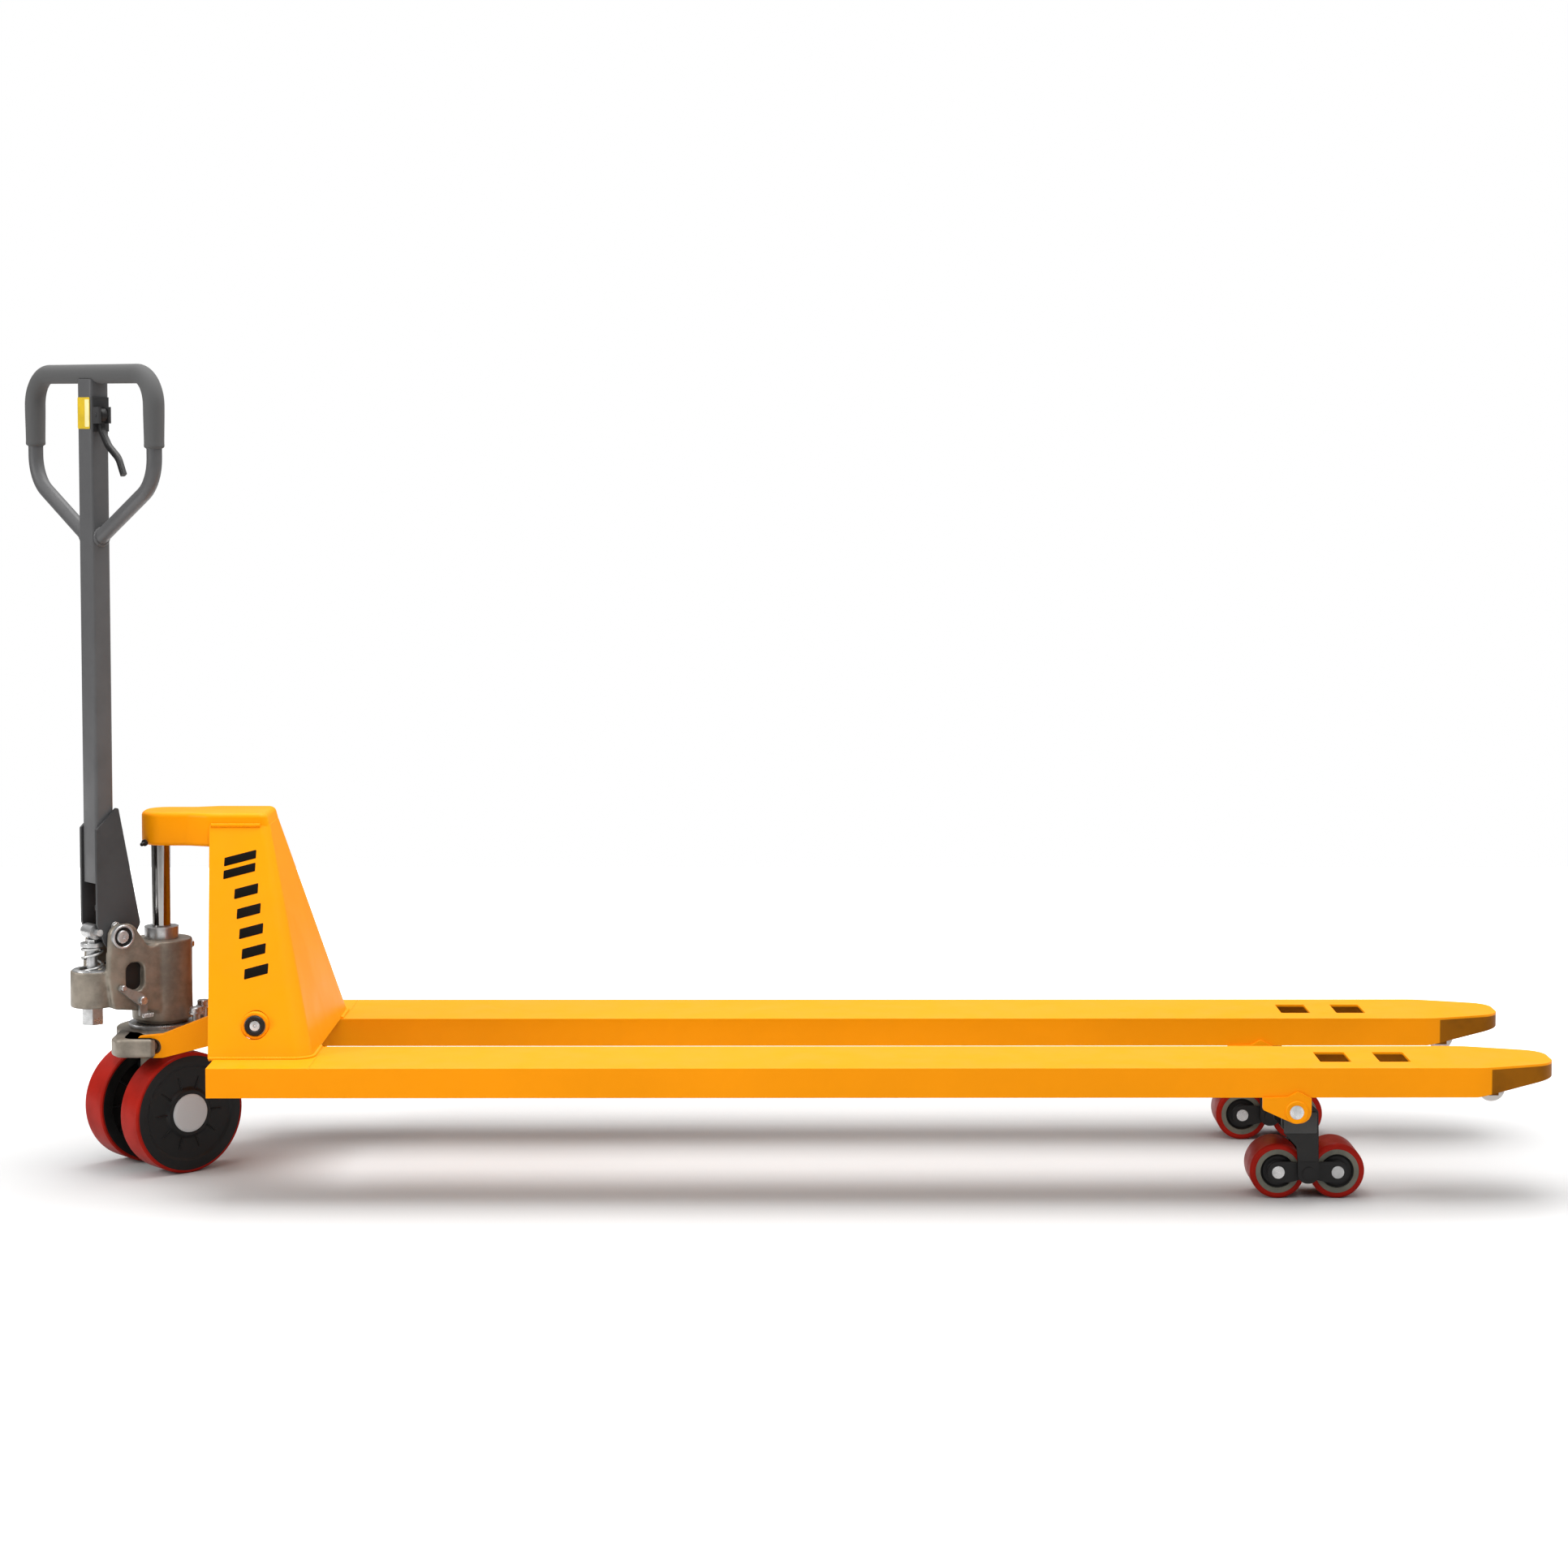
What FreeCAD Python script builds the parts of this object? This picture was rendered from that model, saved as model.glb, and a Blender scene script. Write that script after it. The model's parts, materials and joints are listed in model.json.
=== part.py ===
import FreeCAD, Part
import math
import os
import Sketcher
from FreeCAD import Placement, Rotation, Vector

# Long-fork hand pallet truck, millimetres.  Local frame of every piece: steering axis at X = Y = 0,
# floor at Z = 0, forks towards +X, operator at -X.  The steering unit and all it carries is modelled
# straight ahead and turned by steer_turn; the forks are modelled raised.
SIZES = {
    "steer_x": -919, "steer_turn": 41, "fit_gap": 0.05,
    "wheel_rad": 90, "wheel_wide": 50, "wheel_offset": 52.5, "tread_thick": 5, "axle_rad": 10, "cap_rad": 29,
    "thrust_rad": 68, "thrust_low": 183, "thrust_top": 212, "post_rad": 30, "boss_rad": 14.5, "boss_end": 88,
    "link_pin_rad": 9, "link_pin_z": 197, "link_pin_end": 108, "link_pin_in": 68,
    "pump_rad": 45, "pump_low": 224, "pump_top": 344, "ram_rad": 14, "ram_low": 340, "ram_top": 500,
    "nut_rad": 25.5, "nut_top": 362, "block_rad": 32, "block_low": 254, "block_top": 308,
    "plunger_x": -117, "plunger_rad": 8, "plunger_low": 266, "plunger_top": 354, "well_rad": 18.5, "well_low": 268,
    "spring_rad": 13, "spring_wire": 1.6, "spring_top": 343, "spring_turns": 8, "plunger_cap_rad": 17,
    "ear_in": 27, "ear_out": 38, "pivot_x": -88, "pivot_z": 359, "pivot_rad": 9.6,
    "tiller_x": -104, "tiller_deep": 30, "tiller_wide": 40, "tiller_wall": 3, "tiller_low": 438, "tiller_top": 1175,
    "base_thick": 5, "press_roller_rad": 11, "press_roller_z": 365.8,
    "loop_half": 173.5, "loop_top": 1186, "loop_corner": 46, "loop_knee": 1030, "loop_foot": 948, "loop_rad": 11,
    "grip_rad": 14.5, "grip_low": 1083, "lever_y": -30, "lever_z": 1126, "lever_pin_rad": 3,
    "valve_x": -60, "valve_z": 262, "valve_rad": 5,
    "fork_mid": 192.5, "fork_wide": 165, "fork_heel": 112, "fork_tip": 2045, "fork_low": 157.5, "fork_top": 200,
    "fork_sheet": 4, "tip_taper": 1935, "tip_half": 45, "slot_long": 45, "slot_wide": 72, "slot_a": 1707, "slot_b": 1793,
    "hood_heel": 103, "hood_face": 252, "hood_half": 205, "hood_bend": 25, "hood_sheet": 5,
    "neck_z": 520, "neck_heel": 82, "neck_face": 170, "neck_half": 52, "neck_bend": 14,
    "head_low": 487, "head_top": 537, "nose_x": -26, "nose_half": 40, "head_rear": 176,
    "shaft_x": 168.5, "shaft_z": 245, "shaft_rad": 15, "shaft_end": 187, "bush_rad": 20, "rocker_tube_rad": 22,
    "arm_in": 89, "arm_thick": 15, "rod_y": 156, "rod_rad": 7, "rod_eye": 7, "lug_dx": 28.5, "lug_dz": -83.7,
    "load_x": 1666, "load_z": 137, "load_pin_rad": 10, "load_hub_rad": 17, "crank_dx": 31.7, "crank_dz": 28.5,
    "bogie_dx": 24, "bogie_dz": -97, "axle_span": 43, "roller_rad": 40, "roller_core": 31, "roller_half": 35,
    "roller_axle": 9, "link_end": 15, "crank_pin_rad": 8,
    "entry_x": 1960, "entry_z": 157, "entry_rad": 20, "entry_half": 12, "entry_pin": 4,
}

doc = FreeCAD.newDocument("pallet_truck")
sheet = doc.addObject("Spreadsheet::Sheet", "Size")
for row, (alias, number) in enumerate(SIZES.items(), start=1):
    sheet.set("A%d" % row, alias)
    sheet.set("B%d" % row, str(number))
    sheet.setAlias("B%d" % row, alias)
doc.recompute()

NODES = []
AXIS_TURN = {"X": Rotation(Vector(0, 1, 0), 90), "Y": Rotation(Vector(1, 0, 0), -90), "Z": Rotation()}
PLANE_ROLE = {"XY": "XY_Plane", "XZ": "XZ_Plane", "YZ": "YZ_Plane"}


def val(alias):
    """The number behind one cell of the sheet."""
    return float(sheet.get(alias))


def expr(text):
    """An expression in which every sheet alias is written with the sheet's name."""
    words = str(text).replace("(", " ( ").replace(")", " ) ").split()
    return " ".join("Size." + word if word in SIZES else word for word in words)


def put(obj, where):
    """Bind the base of a placement to three expressions."""
    for letter, text in zip("xyz", where):
        obj.setExpression("Placement.Base." + letter, expr(text) + " + 0")


def rod(radius, length, start, axis="Z"):
    """A round bar from start along +axis."""
    obj = doc.addObject("Part::Cylinder", "rod")
    obj.Placement = Placement(Vector(), AXIS_TURN[axis])
    obj.setExpression("Radius", expr(radius))
    obj.setExpression("Height", expr(length))
    put(obj, start)
    return obj


def across(radius, half, x, z):
    """A round bar lying across the truck, centred on Y = 0."""
    return rod(radius, "2 * ( %s )" % half, (x, "-1 * ( %s )" % half, z), "Y")


def block(size, corner):
    """A box from its lowest corner."""
    obj = doc.addObject("Part::Box", "block")
    for name, text in zip(("Length", "Width", "Height"), size):
        obj.setExpression(name, expr(text))
    put(obj, corner)
    return obj


def fuse(*pieces):
    obj = doc.addObject("Part::MultiFuse", "fuse")
    obj.Shapes = list(pieces)
    return obj


def cut(base, *tools):
    """The base with every tool taken away."""
    obj = doc.addObject("Part::Cut", "cut")
    obj.Base = base
    obj.Tool = tools[0] if len(tools) == 1 else fuse(*tools)
    return obj


def both_sides(piece):
    """The piece and its mirror image across the truck's middle plane."""
    twin = doc.addObject("Part::Mirroring", "mirror")
    twin.Source = piece
    twin.Normal = Vector(0, 1, 0)
    return fuse(piece, twin)


def outline_edges(corners):
    """Edges of a closed outline; each corner is (u, v) or (u, v, radius)."""
    count = len(corners)
    ends = []
    for index, corner in enumerate(corners):
        point = Vector(corner[0], corner[1], 0)
        radius = corner[2] if len(corner) > 2 else 0
        before = Vector(*corners[index - 1][:2], 0) - point
        after = Vector(*corners[(index + 1) % count][:2], 0) - point
        if radius == 0:
            ends.append((point, None, point))
            continue
        half = before.getAngle(after) / 2
        reach = radius / math.tan(half)
        before.normalize()
        after.normalize()
        bisector = before + after
        bisector.normalize()
        middle = point + bisector * (radius / math.sin(half) - radius)
        ends.append((point + before * reach, middle, point + after * reach))
    edges = []
    for index, (first, middle, last) in enumerate(ends):
        if middle is not None:
            edges.append(Part.Arc(first, middle, last))
        following = ends[(index + 1) % count][0]
        if (following - last).Length > 1e-6:
            edges.append(Part.LineSegment(last, following))
    return edges


def add_sketch(body, plane, corners, offset, holes=()):
    """A sketch on one of the body's own origin planes, moved along the plane's normal."""
    sketch = body.newObject("Sketcher::SketchObject", "outline")
    support = next(f for f in body.Origin.OriginFeatures if f.Role == PLANE_ROLE[plane])
    sketch.AttachmentSupport = [(support, "")]
    sketch.MapMode = "FlatFace"
    sketch.setExpression("AttachmentOffset.Base.z", expr(offset) + " + 0")
    sketch.addGeometry(outline_edges(corners), False)
    for u, v, radius in holes:
        index = sketch.addGeometry(Part.Circle(Vector(u, v, 0), Vector(0, 0, 1), val(radius)), False)
        hole = sketch.addConstraint(Sketcher.Constraint("Radius", index, val(radius)))
        sketch.setExpression("Constraints[%d]" % hole, expr(radius))
    return sketch


def plate(corners, plane, offset, thick, holes=()):
    """A body padded from an outline.  On XZ the pad runs from Y = -offset towards -Y."""
    body = doc.addObject("PartDesign::Body", "plate")
    sketch = add_sketch(body, plane, corners, offset, holes)
    pad = body.newObject("PartDesign::Pad", "pad")
    pad.Profile = sketch
    pad.setExpression("Length", expr(thick))
    return body


def pocket(body, corners, plane, offset, deep, flip=False):
    """Cut an outline out of a body and make sure that it really removed material."""
    doc.recompute()
    before = body.Shape.Volume
    sketch = add_sketch(body, plane, corners, offset)
    hole = body.newObject("PartDesign::Pocket", "pocket")
    hole.Profile = sketch
    hole.setExpression("Length", expr(deep))
    hole.Reversed = flip
    doc.recompute()
    if body.Shape.Volume > before - 1:
        raise RuntimeError("pocket cuts nothing in " + body.Label)


def node(obj, label, turned=False):
    """Register a finished sub-part: label, place on the truck, and turn with the steering."""
    if obj.TypeId in ("Part::Cylinder", "Part::Feature"):
        # The piece keeps its own placement inside a compound, which carries the node's placement.
        holder = doc.addObject("Part::Compound", "held")
        holder.Links = [obj]
        obj = holder
    obj.Label = label
    if turned:
        obj.Placement = Placement(Vector(), Rotation(Vector(0, 0, 1), val("steer_turn")))
        obj.setExpression("Placement.Rotation.Angle", expr("steer_turn"))
    obj.setExpression("Placement.Base.x", expr("steer_x"))
    NODES.append(obj)


def box_outline(u0, u1, v0, v1, radius=0):
    return [(u0, v0, radius), (u1, v0, radius), (u1, v1, radius), (u0, v1, radius)]


# ---------------------------------------------------------------- thrust plate
def thrust_group():
    disc = rod("thrust_rad", "thrust_top - thrust_low", (0, 0, "thrust_low"))
    bosses = across("boss_rad", "boss_end", 0, "link_pin_z")
    bore = rod("post_rad + 0.3", "thrust_top", (0, 0, 0))
    drills, pins = (both_sides(rod("link_pin_rad", "link_pin_end - link_pin_in", (0, "link_pin_in", "link_pin_z"), "Y"))
                    for _ in range(2))
    node(cut(fuse(disc, bosses), bore, drills), "thrust_plate")
    node(pins, "rocker_pins")
    race = rod(50, "pump_low - 6 - thrust_top", (0, 0, "thrust_top"))
    node(cut(race, rod("post_rad + 1", 12, (0, 0, "thrust_top - 2"))), "thrust_bearing")


# ---------------------------------------------------------------- pump and steering unit
def pump_body():
    px, pz = val("pivot_x"), val("pivot_z")
    barrel = rod("pump_rad", "pump_top - pump_low", (0, 0, "pump_low"))
    flange = rod(39, 6, (0, 0, "pump_low - 6"))
    post = rod("post_rad", "pump_low - thrust_low", (0, 0, "thrust_low - 2"))
    stem = block((52, 48, "thrust_low - 1 - wheel_rad"), (-26, -24, "wheel_rad"))
    hub = across(26, 24, 0, "wheel_rad")
    nose = rod("block_rad", "block_top - block_low", ("plunger_x", 0, "block_low"))
    link = block(("-1 * plunger_x", 54, "block_top - block_low"), ("plunger_x", -27, "block_low"))
    ear = [(-26, 240), (-104, 252, 8), (-112, 300, 10), (px - 18, pz + 18, 17.5), (px + 18, pz + 18, 17.5),
           (-44, 340, 6), (-26, 340)]
    ears = both_sides(plate(ear, "XZ", "ear_in", "ear_out - ear_in"))
    solid = fuse(barrel, flange, post, stem, hub, nose, link, ears)
    window = box_outline(-82, -52, 275, 318, 12)
    return cut(solid,
               both_sides(plate(window, "XZ", "ear_in", "ear_out")),
               rod(22, "pump_top", (0, 0, "pump_low - 2")),
               rod("well_rad", 60, ("plunger_x", 0, "well_low")),
               rod("plunger_rad + fit_gap", 30, ("plunger_x", 0, "block_low - 1")),
               across("pivot_rad", 60, "pivot_x", "pivot_z"),
               across("axle_rad", 60, 0, "wheel_rad"))


def hex_bar(circum, length, start, axis="Z"):
    obj = doc.addObject("Part::Prism", "hex")
    obj.Polygon = 6
    obj.Placement = Placement(Vector(), AXIS_TURN[axis])
    obj.setExpression("Circumradius", expr(circum))
    obj.setExpression("Height", expr(length))
    put(obj, start)
    return obj


def pump_group():
    node(pump_body(), "pump_body", True)
    collar = fuse(rod("nut_rad", "nut_top - pump_top", (0, 0, "pump_top")), rod(22, 9, (0, 0, "pump_top - 9")))
    node(cut(collar, rod("ram_rad + fit_gap", 60, (0, 0, "pump_top - 12"))), "gland_nut", True)
    plug = cut(hex_bar(17, 26, ("plunger_x", 0, "block_low - 26")), rod(8.5, 24, ("plunger_x", 0, "block_low - 23")))
    bleed = cut(hex_bar(7, 8, ("pump_rad - 0.5", 0, 330), "X"), rod("pump_rad", 40, (0, 0, 310)))
    stud = rod("valve_rad - fit_gap", 12, ("valve_x", "-1 * ear_out - 12", "valve_z"), "Y")
    node(fuse(plug, bleed, stud), "pump_plugs", True)
    node(across("axle_rad", 74, 0, "wheel_rad"), "steer_axle", True)
    clip = cut(rod(16, 2, (0, 70.5, "wheel_rad"), "Y"), rod("axle_rad", 8, (0, 68, "wheel_rad"), "Y"))
    node(both_sides(clip), "axle_clips", True)
    node(across("pivot_rad", "ear_out + 2", "pivot_x", "pivot_z"), "handle_pivot_pin", True)


def pump_spring():
    """A round wire swept along a helix between the bottom of the well and the plunger cap."""
    helix = doc.addObject("Part::Helix", "coil")
    wire = "2 * spring_wire"
    helix.setExpression("Height", expr("spring_top - well_low - " + wire))
    helix.setExpression("Pitch", expr("( spring_top - well_low - %s ) / spring_turns" % wire))
    helix.setExpression("Radius", expr("spring_rad"))
    circle = doc.addObject("Part::Circle", "wire_section")
    circle.setExpression("Radius", expr("spring_wire"))
    circle.Placement = Placement(Vector(), Rotation(Vector(1, 0, 0), 90))
    put(helix, ("plunger_x", 0, "well_low + spring_wire"))
    put(circle, ("plunger_x + spring_rad", 0, "well_low + spring_wire"))
    sweep = doc.addObject("Part::Sweep", "spring")
    sweep.Sections = [circle]
    sweep.Spine = (helix, ["Edge1"])
    sweep.Solid = True
    sweep.Frenet = True
    node(sweep, "pump_spring", True)


def steer_wheel(side, sign):
    inner = "wheel_offset - wheel_wide / 2"
    if sign < 0:
        start = "-1 * ( wheel_offset + wheel_wide / 2 )"
        cap_start = "-1 * ( wheel_offset + wheel_wide / 2 + 2.5 )"
        bore_start = "-1 * ( wheel_offset + wheel_wide / 2 )"
    else:
        start = inner
        cap_start = "wheel_offset + wheel_wide / 2"
        bore_start = "wheel_offset + wheel_wide / 2 - 8"
    rim = "wheel_rad - tread_thick"
    tread = cut(rod("wheel_rad", "wheel_wide", (0, start, "wheel_rad"), "Y"),
                rod(rim, "wheel_wide + 2", (0, start + " - 1", "wheel_rad"), "Y"))
    core = cut(rod(rim, "wheel_wide", (0, start, "wheel_rad"), "Y"),
               rod("axle_rad + fit_gap", "wheel_wide + 2", (0, start + " - 1", "wheel_rad"), "Y"),
               rod(20, 8, (0, bore_start, "wheel_rad"), "Y"))
    node(tread, "steer_tread_" + side, True)
    node(core, "steer_core_" + side, True)
    node(rod("cap_rad", 2.5, (0, cap_start, "wheel_rad"), "Y"), "hub_cap_" + side, True)


# ---------------------------------------------------------------- handle
def tube_path(points):
    """A wire of straight runs joined by tangent arcs in the plane X = 0."""
    edges = []
    start = Vector(0, points[0][0], points[0][1])
    for index in range(1, len(points) - 1):
        y, z, radius = points[index]
        point = Vector(0, y, z)
        before = Vector(0, *points[index - 1][:2]) - point
        after = Vector(0, *points[index + 1][:2]) - point
        half = before.getAngle(after) / 2
        before.normalize()
        after.normalize()
        bisector = before + after
        bisector.normalize()
        reach = radius / math.tan(half)
        first, last = point + before * reach, point + after * reach
        middle = point + bisector * (radius / math.sin(half) - radius)
        edges.append(Part.LineSegment(start, first).toShape())
        edges.append(Part.Arc(first, middle, last).toShape())
        start = last
    edges.append(Part.LineSegment(start, Vector(0, *points[-1][:2])).toShape())
    return Part.Wire(edges)


def loop_points(low=None):
    half, top, bend = val("loop_half"), val("loop_top"), val("loop_corner")
    if low is not None:
        side = [(half, low), (half, top, bend)]
    else:
        side = [(20, val("loop_foot")), (half, val("loop_knee"), 60), (half, top, bend)]
    return side + [(-p[0],) + tuple(p[1:]) for p in reversed(side)]


def swept(radius, points):
    """A pipe of one radius along the handle's loop."""
    path = tube_path(points)
    first = path.Edges[0]
    start = first.valueAt(first.FirstParameter)
    section = Part.Wire(Part.makeCircle(radius, start, first.tangentAt(first.FirstParameter)))
    obj = doc.addObject("Part::Feature", "pipe")
    obj.Shape = path.makePipeShell([section], True, False)
    obj.Placement = Placement(Vector(val("tiller_x"), 0, 0), Rotation())
    return obj


def handle_group():
    deep, wide = val("tiller_deep"), val("tiller_wide")
    tx = "tiller_x - tiller_deep / 2"
    tube = block(("tiller_deep", "tiller_wide", "tiller_top - tiller_low"),
                 (tx, "-1 * tiller_wide / 2", "tiller_low"))
    inside = block(("tiller_deep - 2 * tiller_wall", "tiller_wide - 2 * tiller_wall", "tiller_top - tiller_low + 2"),
                   (tx + " + tiller_wall", "tiller_wall - tiller_wide / 2", "tiller_low - 1"))
    loop_clear = swept(val("loop_rad"), [(-60, val("loop_top")), (60, val("loop_top"))])
    node(cut(tube, inside, loop_clear), "tiller_tube", True)

    side = [(-121, 378, 8), (-121, 518, 3), (-85, 551, 3), (-50, 374, 10), (-68, 341, 14), (-106, 341, 14)]
    cheek = plate(side, "XZ", "tiller_wide / 2", "base_thick")
    spacer = across(14, "tiller_wide / 2", "pivot_x", "pivot_z")
    web = block((5, "tiller_wide", 70), (-80, "-1 * tiller_wide / 2", 446))
    shell = fuse(both_sides(cheek), spacer, web)
    node(cut(shell, across("pivot_rad + fit_gap", 60, "pivot_x", "pivot_z"),
             across(5, 60, "plunger_x", "press_roller_z")), "handle_base", True)
    node(fuse(across("press_roller_rad", 14, "plunger_x", "press_roller_z"),
              across(5, "tiller_wide / 2 + base_thick", "plunger_x", "press_roller_z")), "press_roller", True)

    solid_tiller = block(("tiller_deep", "tiller_wide", 200), (tx, "-1 * tiller_wide / 2", 900))
    node(cut(swept(val("loop_rad"), loop_points()), solid_tiller), "handle_loop", True)
    sleeve = swept(val("grip_rad"), loop_points(val("grip_low")))
    core = swept(val("loop_rad"), loop_points(val("grip_low") - 5))
    seat = block((deep + 1, wide + 1, 20), (val("tiller_x") - deep / 2 - 0.5, -wide / 2 - 0.5, val("tiller_top") - 20))
    node(cut(sleeve, core, seat), "handle_grip", True)

    ly, lz = val("lever_y"), val("lever_z")
    foot = block((26, 3, 50), (-117, "-1 * tiller_wide / 2 - 3", lz - 24))
    lug = block((4, 17, 24), (-117, "-1 * tiller_wide / 2 - 20", lz - 12))
    lug_rear = block((4, 17, 24), (-101, "-1 * tiller_wide / 2 - 20", lz - 12))
    pin = rod("lever_pin_rad", 22, (-118, "lever_y", "lever_z"), "X")
    node(fuse(foot, lug, lug_rear, pin), "lever_bracket", True)
    blade = [(-24.2, lz + 8, 5), (-38, lz + 6, 6), (-64, 1100, 20), (-86, 1066, 20), (-97, 1040, 3), (-88, 1037, 3),
             (-72, 1064, 20), (-50, 1090, 20), (-25.8, lz - 12, 5)]
    # The YZ plane's normal is +X, so the blade starts at its offset and grows towards +X.
    arm = plate(blade, "YZ", -111.5, 9)
    node(cut(arm, rod("lever_pin_rad + fit_gap", 30, (-122, "lever_y", "lever_z"), "X")), "control_lever", True)
    rod_low = val("tiller_low") - 46
    link = rod(4, lz - 18 - rod_low, ("tiller_x", 0, rod_low))
    node(fuse(link, hex_bar(7.5, 7, ("tiller_x", 0, rod_low + 4))), "control_rod", True)

    vx, vz = val("valve_x"), val("valve_z")
    bell = [(vx - 4, vz - 8, 3), (vx - 4, vz - 24, 2), (vx + 7, vz - 24, 2), (vx + 9, vz + 2, 6), (vx, vz + 10, 5),
            (vx - 34, vz + 26, 3), (vx - 38, vz + 19, 3)]
    crank = plate(bell, "XZ", "ear_out + 2", 6)
    node(cut(crank, rod("valve_rad", 20, ("valve_x", "-1 * ear_out - 14", "valve_z"), "Y")), "release_lever", True)


def plunger_group():
    node(rod("plunger_rad", "plunger_top - plunger_low", ("plunger_x", 0, "plunger_low")), "plunger_rod", True)
    disc = rod("plunger_cap_rad", 6, ("plunger_x", 0, "spring_top"))
    node(cut(disc, rod("plunger_rad", 10, ("plunger_x", 0, "spring_top - 2"))), "plunger_cap", True)
    node(rod("ram_rad", "ram_top - ram_low", (0, 0, "ram_low")), "ram_rod", True)


# ---------------------------------------------------------------- forks, hood and head
def fork(side, sign):
    """One fork: a downward channel with a tapered, closed tip and two slots over the load rollers."""
    mid, half, skin = val("fork_mid") * sign, val("fork_wide") / 2, val("fork_sheet")
    heel, taper, tip, nose = val("fork_heel"), val("tip_taper"), val("fork_tip"), val("tip_half")

    def shape(inset):
        ring = [(heel + inset, half - inset), (taper, half - inset, 80 - inset), (tip - inset, nose - inset, 40 - inset)]
        return [(p[0], mid + p[1]) + tuple(p[2:]) for p in ring] + \
               [(p[0], mid - p[1]) + tuple(p[2:]) for p in reversed(ring)]

    body = plate(shape(0), "XY", "fork_low", "fork_top - fork_low")
    pocket(body, shape(skin), "XY", "fork_low", "fork_top - fork_low - fork_sheet", True)
    wide = val("slot_wide") / 2
    for name in ("slot_a", "slot_b"):
        slot = box_outline(val(name), val(name) + val("slot_long"), mid - wide, mid + wide, 3)
        pocket(body, slot, "XY", "fork_top", "fork_sheet + 1")
    # A shallow line across the deck keeps the load's bearing face clear of the hood's foot.
    pocket(body, box_outline(257, 258.5, mid - half - 1, mid + half + 1), "XY", "fork_top", 0.4)
    lug_mid = val("rod_y") * sign
    pocket(body, box_outline(124, 218, lug_mid - 15, lug_mid + 15), "XY", "fork_top", "fork_sheet + 1")
    low, top = val("fork_low"), val("fork_top")
    wedge = [(1926, low - 1), (tip + 5, low - 1), (tip + 5, low + 21.5), (1926, low)]
    ramp = plate(wedge, "XZ", "-1 * ( %s )" % (mid + 100), 200)
    lug_y = val("entry_half") + 2
    lugs = [block((18, 4, "fork_top - entry_z + 8"), ("entry_x - 9", mid + dy, "entry_z - 10"))
            for dy in (lug_y, -lug_y - 4)]
    solid = fuse(cut(body, ramp), *lugs)
    node(cut(solid, rod("entry_pin", 60, ("entry_x", mid - 30, "entry_z"), "Y")), "fork_" + side)


def hood():
    """The bulkhead: one sheet bent round in plan, narrowing from the forks up to the neck."""
    def ring(heel, face, half, bend, skin):
        corners = [(heel, -half), (face, -half, bend), (face, half, bend), (heel, half)]
        inner = [(heel, half - skin), (face - skin, half - skin, bend - skin),
                 (face - skin, skin - half, bend - skin), (heel, skin - half)]
        return corners + inner

    skin = val("hood_sheet")
    body = doc.addObject("PartDesign::Body", "hood")
    foot = add_sketch(body, "XY", ring(val("hood_heel"), val("hood_face"), val("hood_half"), val("hood_bend"), skin),
                      "fork_top")
    neck = add_sketch(body, "XY", ring(val("neck_heel"), val("neck_face"), val("neck_half"), val("neck_bend"), skin),
                      "neck_z")
    loft = body.newObject("PartDesign::AdditiveLoft", "loft")
    loft.Profile = foot
    loft.Sections = [neck]
    loft.Ruled = True
    node(cut(body, across("bush_rad", 230, "shaft_x", "shaft_z")), "bulkhead")


def head():
    nx, nh, wide, rear = val("nose_x"), val("nose_half"), val("neck_half"), val("head_rear")
    plan = [(nx, -nh, 34), (48, -nh, 20), (80, -wide, 20), (rear, -wide, 12),
            (rear, wide, 12), (80, wide, 20), (48, nh, 20), (nx, nh, 34)]
    cap = plate(plan, "XY", "head_low", "head_top - head_low")
    rear_gap = block((200, 200, "neck_z - head_low"), ("neck_heel", -100, "head_low"))
    socket = rod("ram_rad + 0.35", "ram_top - head_low + 0.3", (0, 0, "head_low"))
    node(cut(cap, rear_gap, socket), "head")


def chassis_small():
    lx, lz, mid, half = val("load_x"), val("load_z"), val("fork_mid"), val("fork_wide") / 2
    ear = [(lx - 49, lz + 21), (lx - 49, lz + 4, 5), (lx - 5, lz - 16, 12), (lx + 21, lz - 16, 17), (lx + 21, lz + 20),
           (lx + 2, lz + 30, 3), (lx - 13, lz + 22)]
    plates = [plate(ear, "XZ", "-1 * ( %s )" % (y + 4), 4, [(lx, lz, "load_pin_rad")])
              for y in (mid + half, mid - half - 4)]
    node(both_sides(fuse(*plates)), "pivot_ears")
    pin_half = half + 5.5
    node(both_sides(rod("load_pin_rad", 2 * pin_half, ("load_x", mid - pin_half, "load_z"), "Y")), "load_pivot_pins")
    ring = cut(rod("bush_rad", 12, ("shaft_x", 176, "shaft_z"), "Y"),
               rod("shaft_rad + fit_gap", 20, ("shaft_x", 172, "shaft_z"), "Y"))
    node(both_sides(ring), "shaft_bushes")
    reach = val("entry_half") + 7
    node(both_sides(rod("entry_pin", 2 * reach, ("entry_x", mid - reach, "entry_z"), "Y")), "entry_roller_pins")


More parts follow.
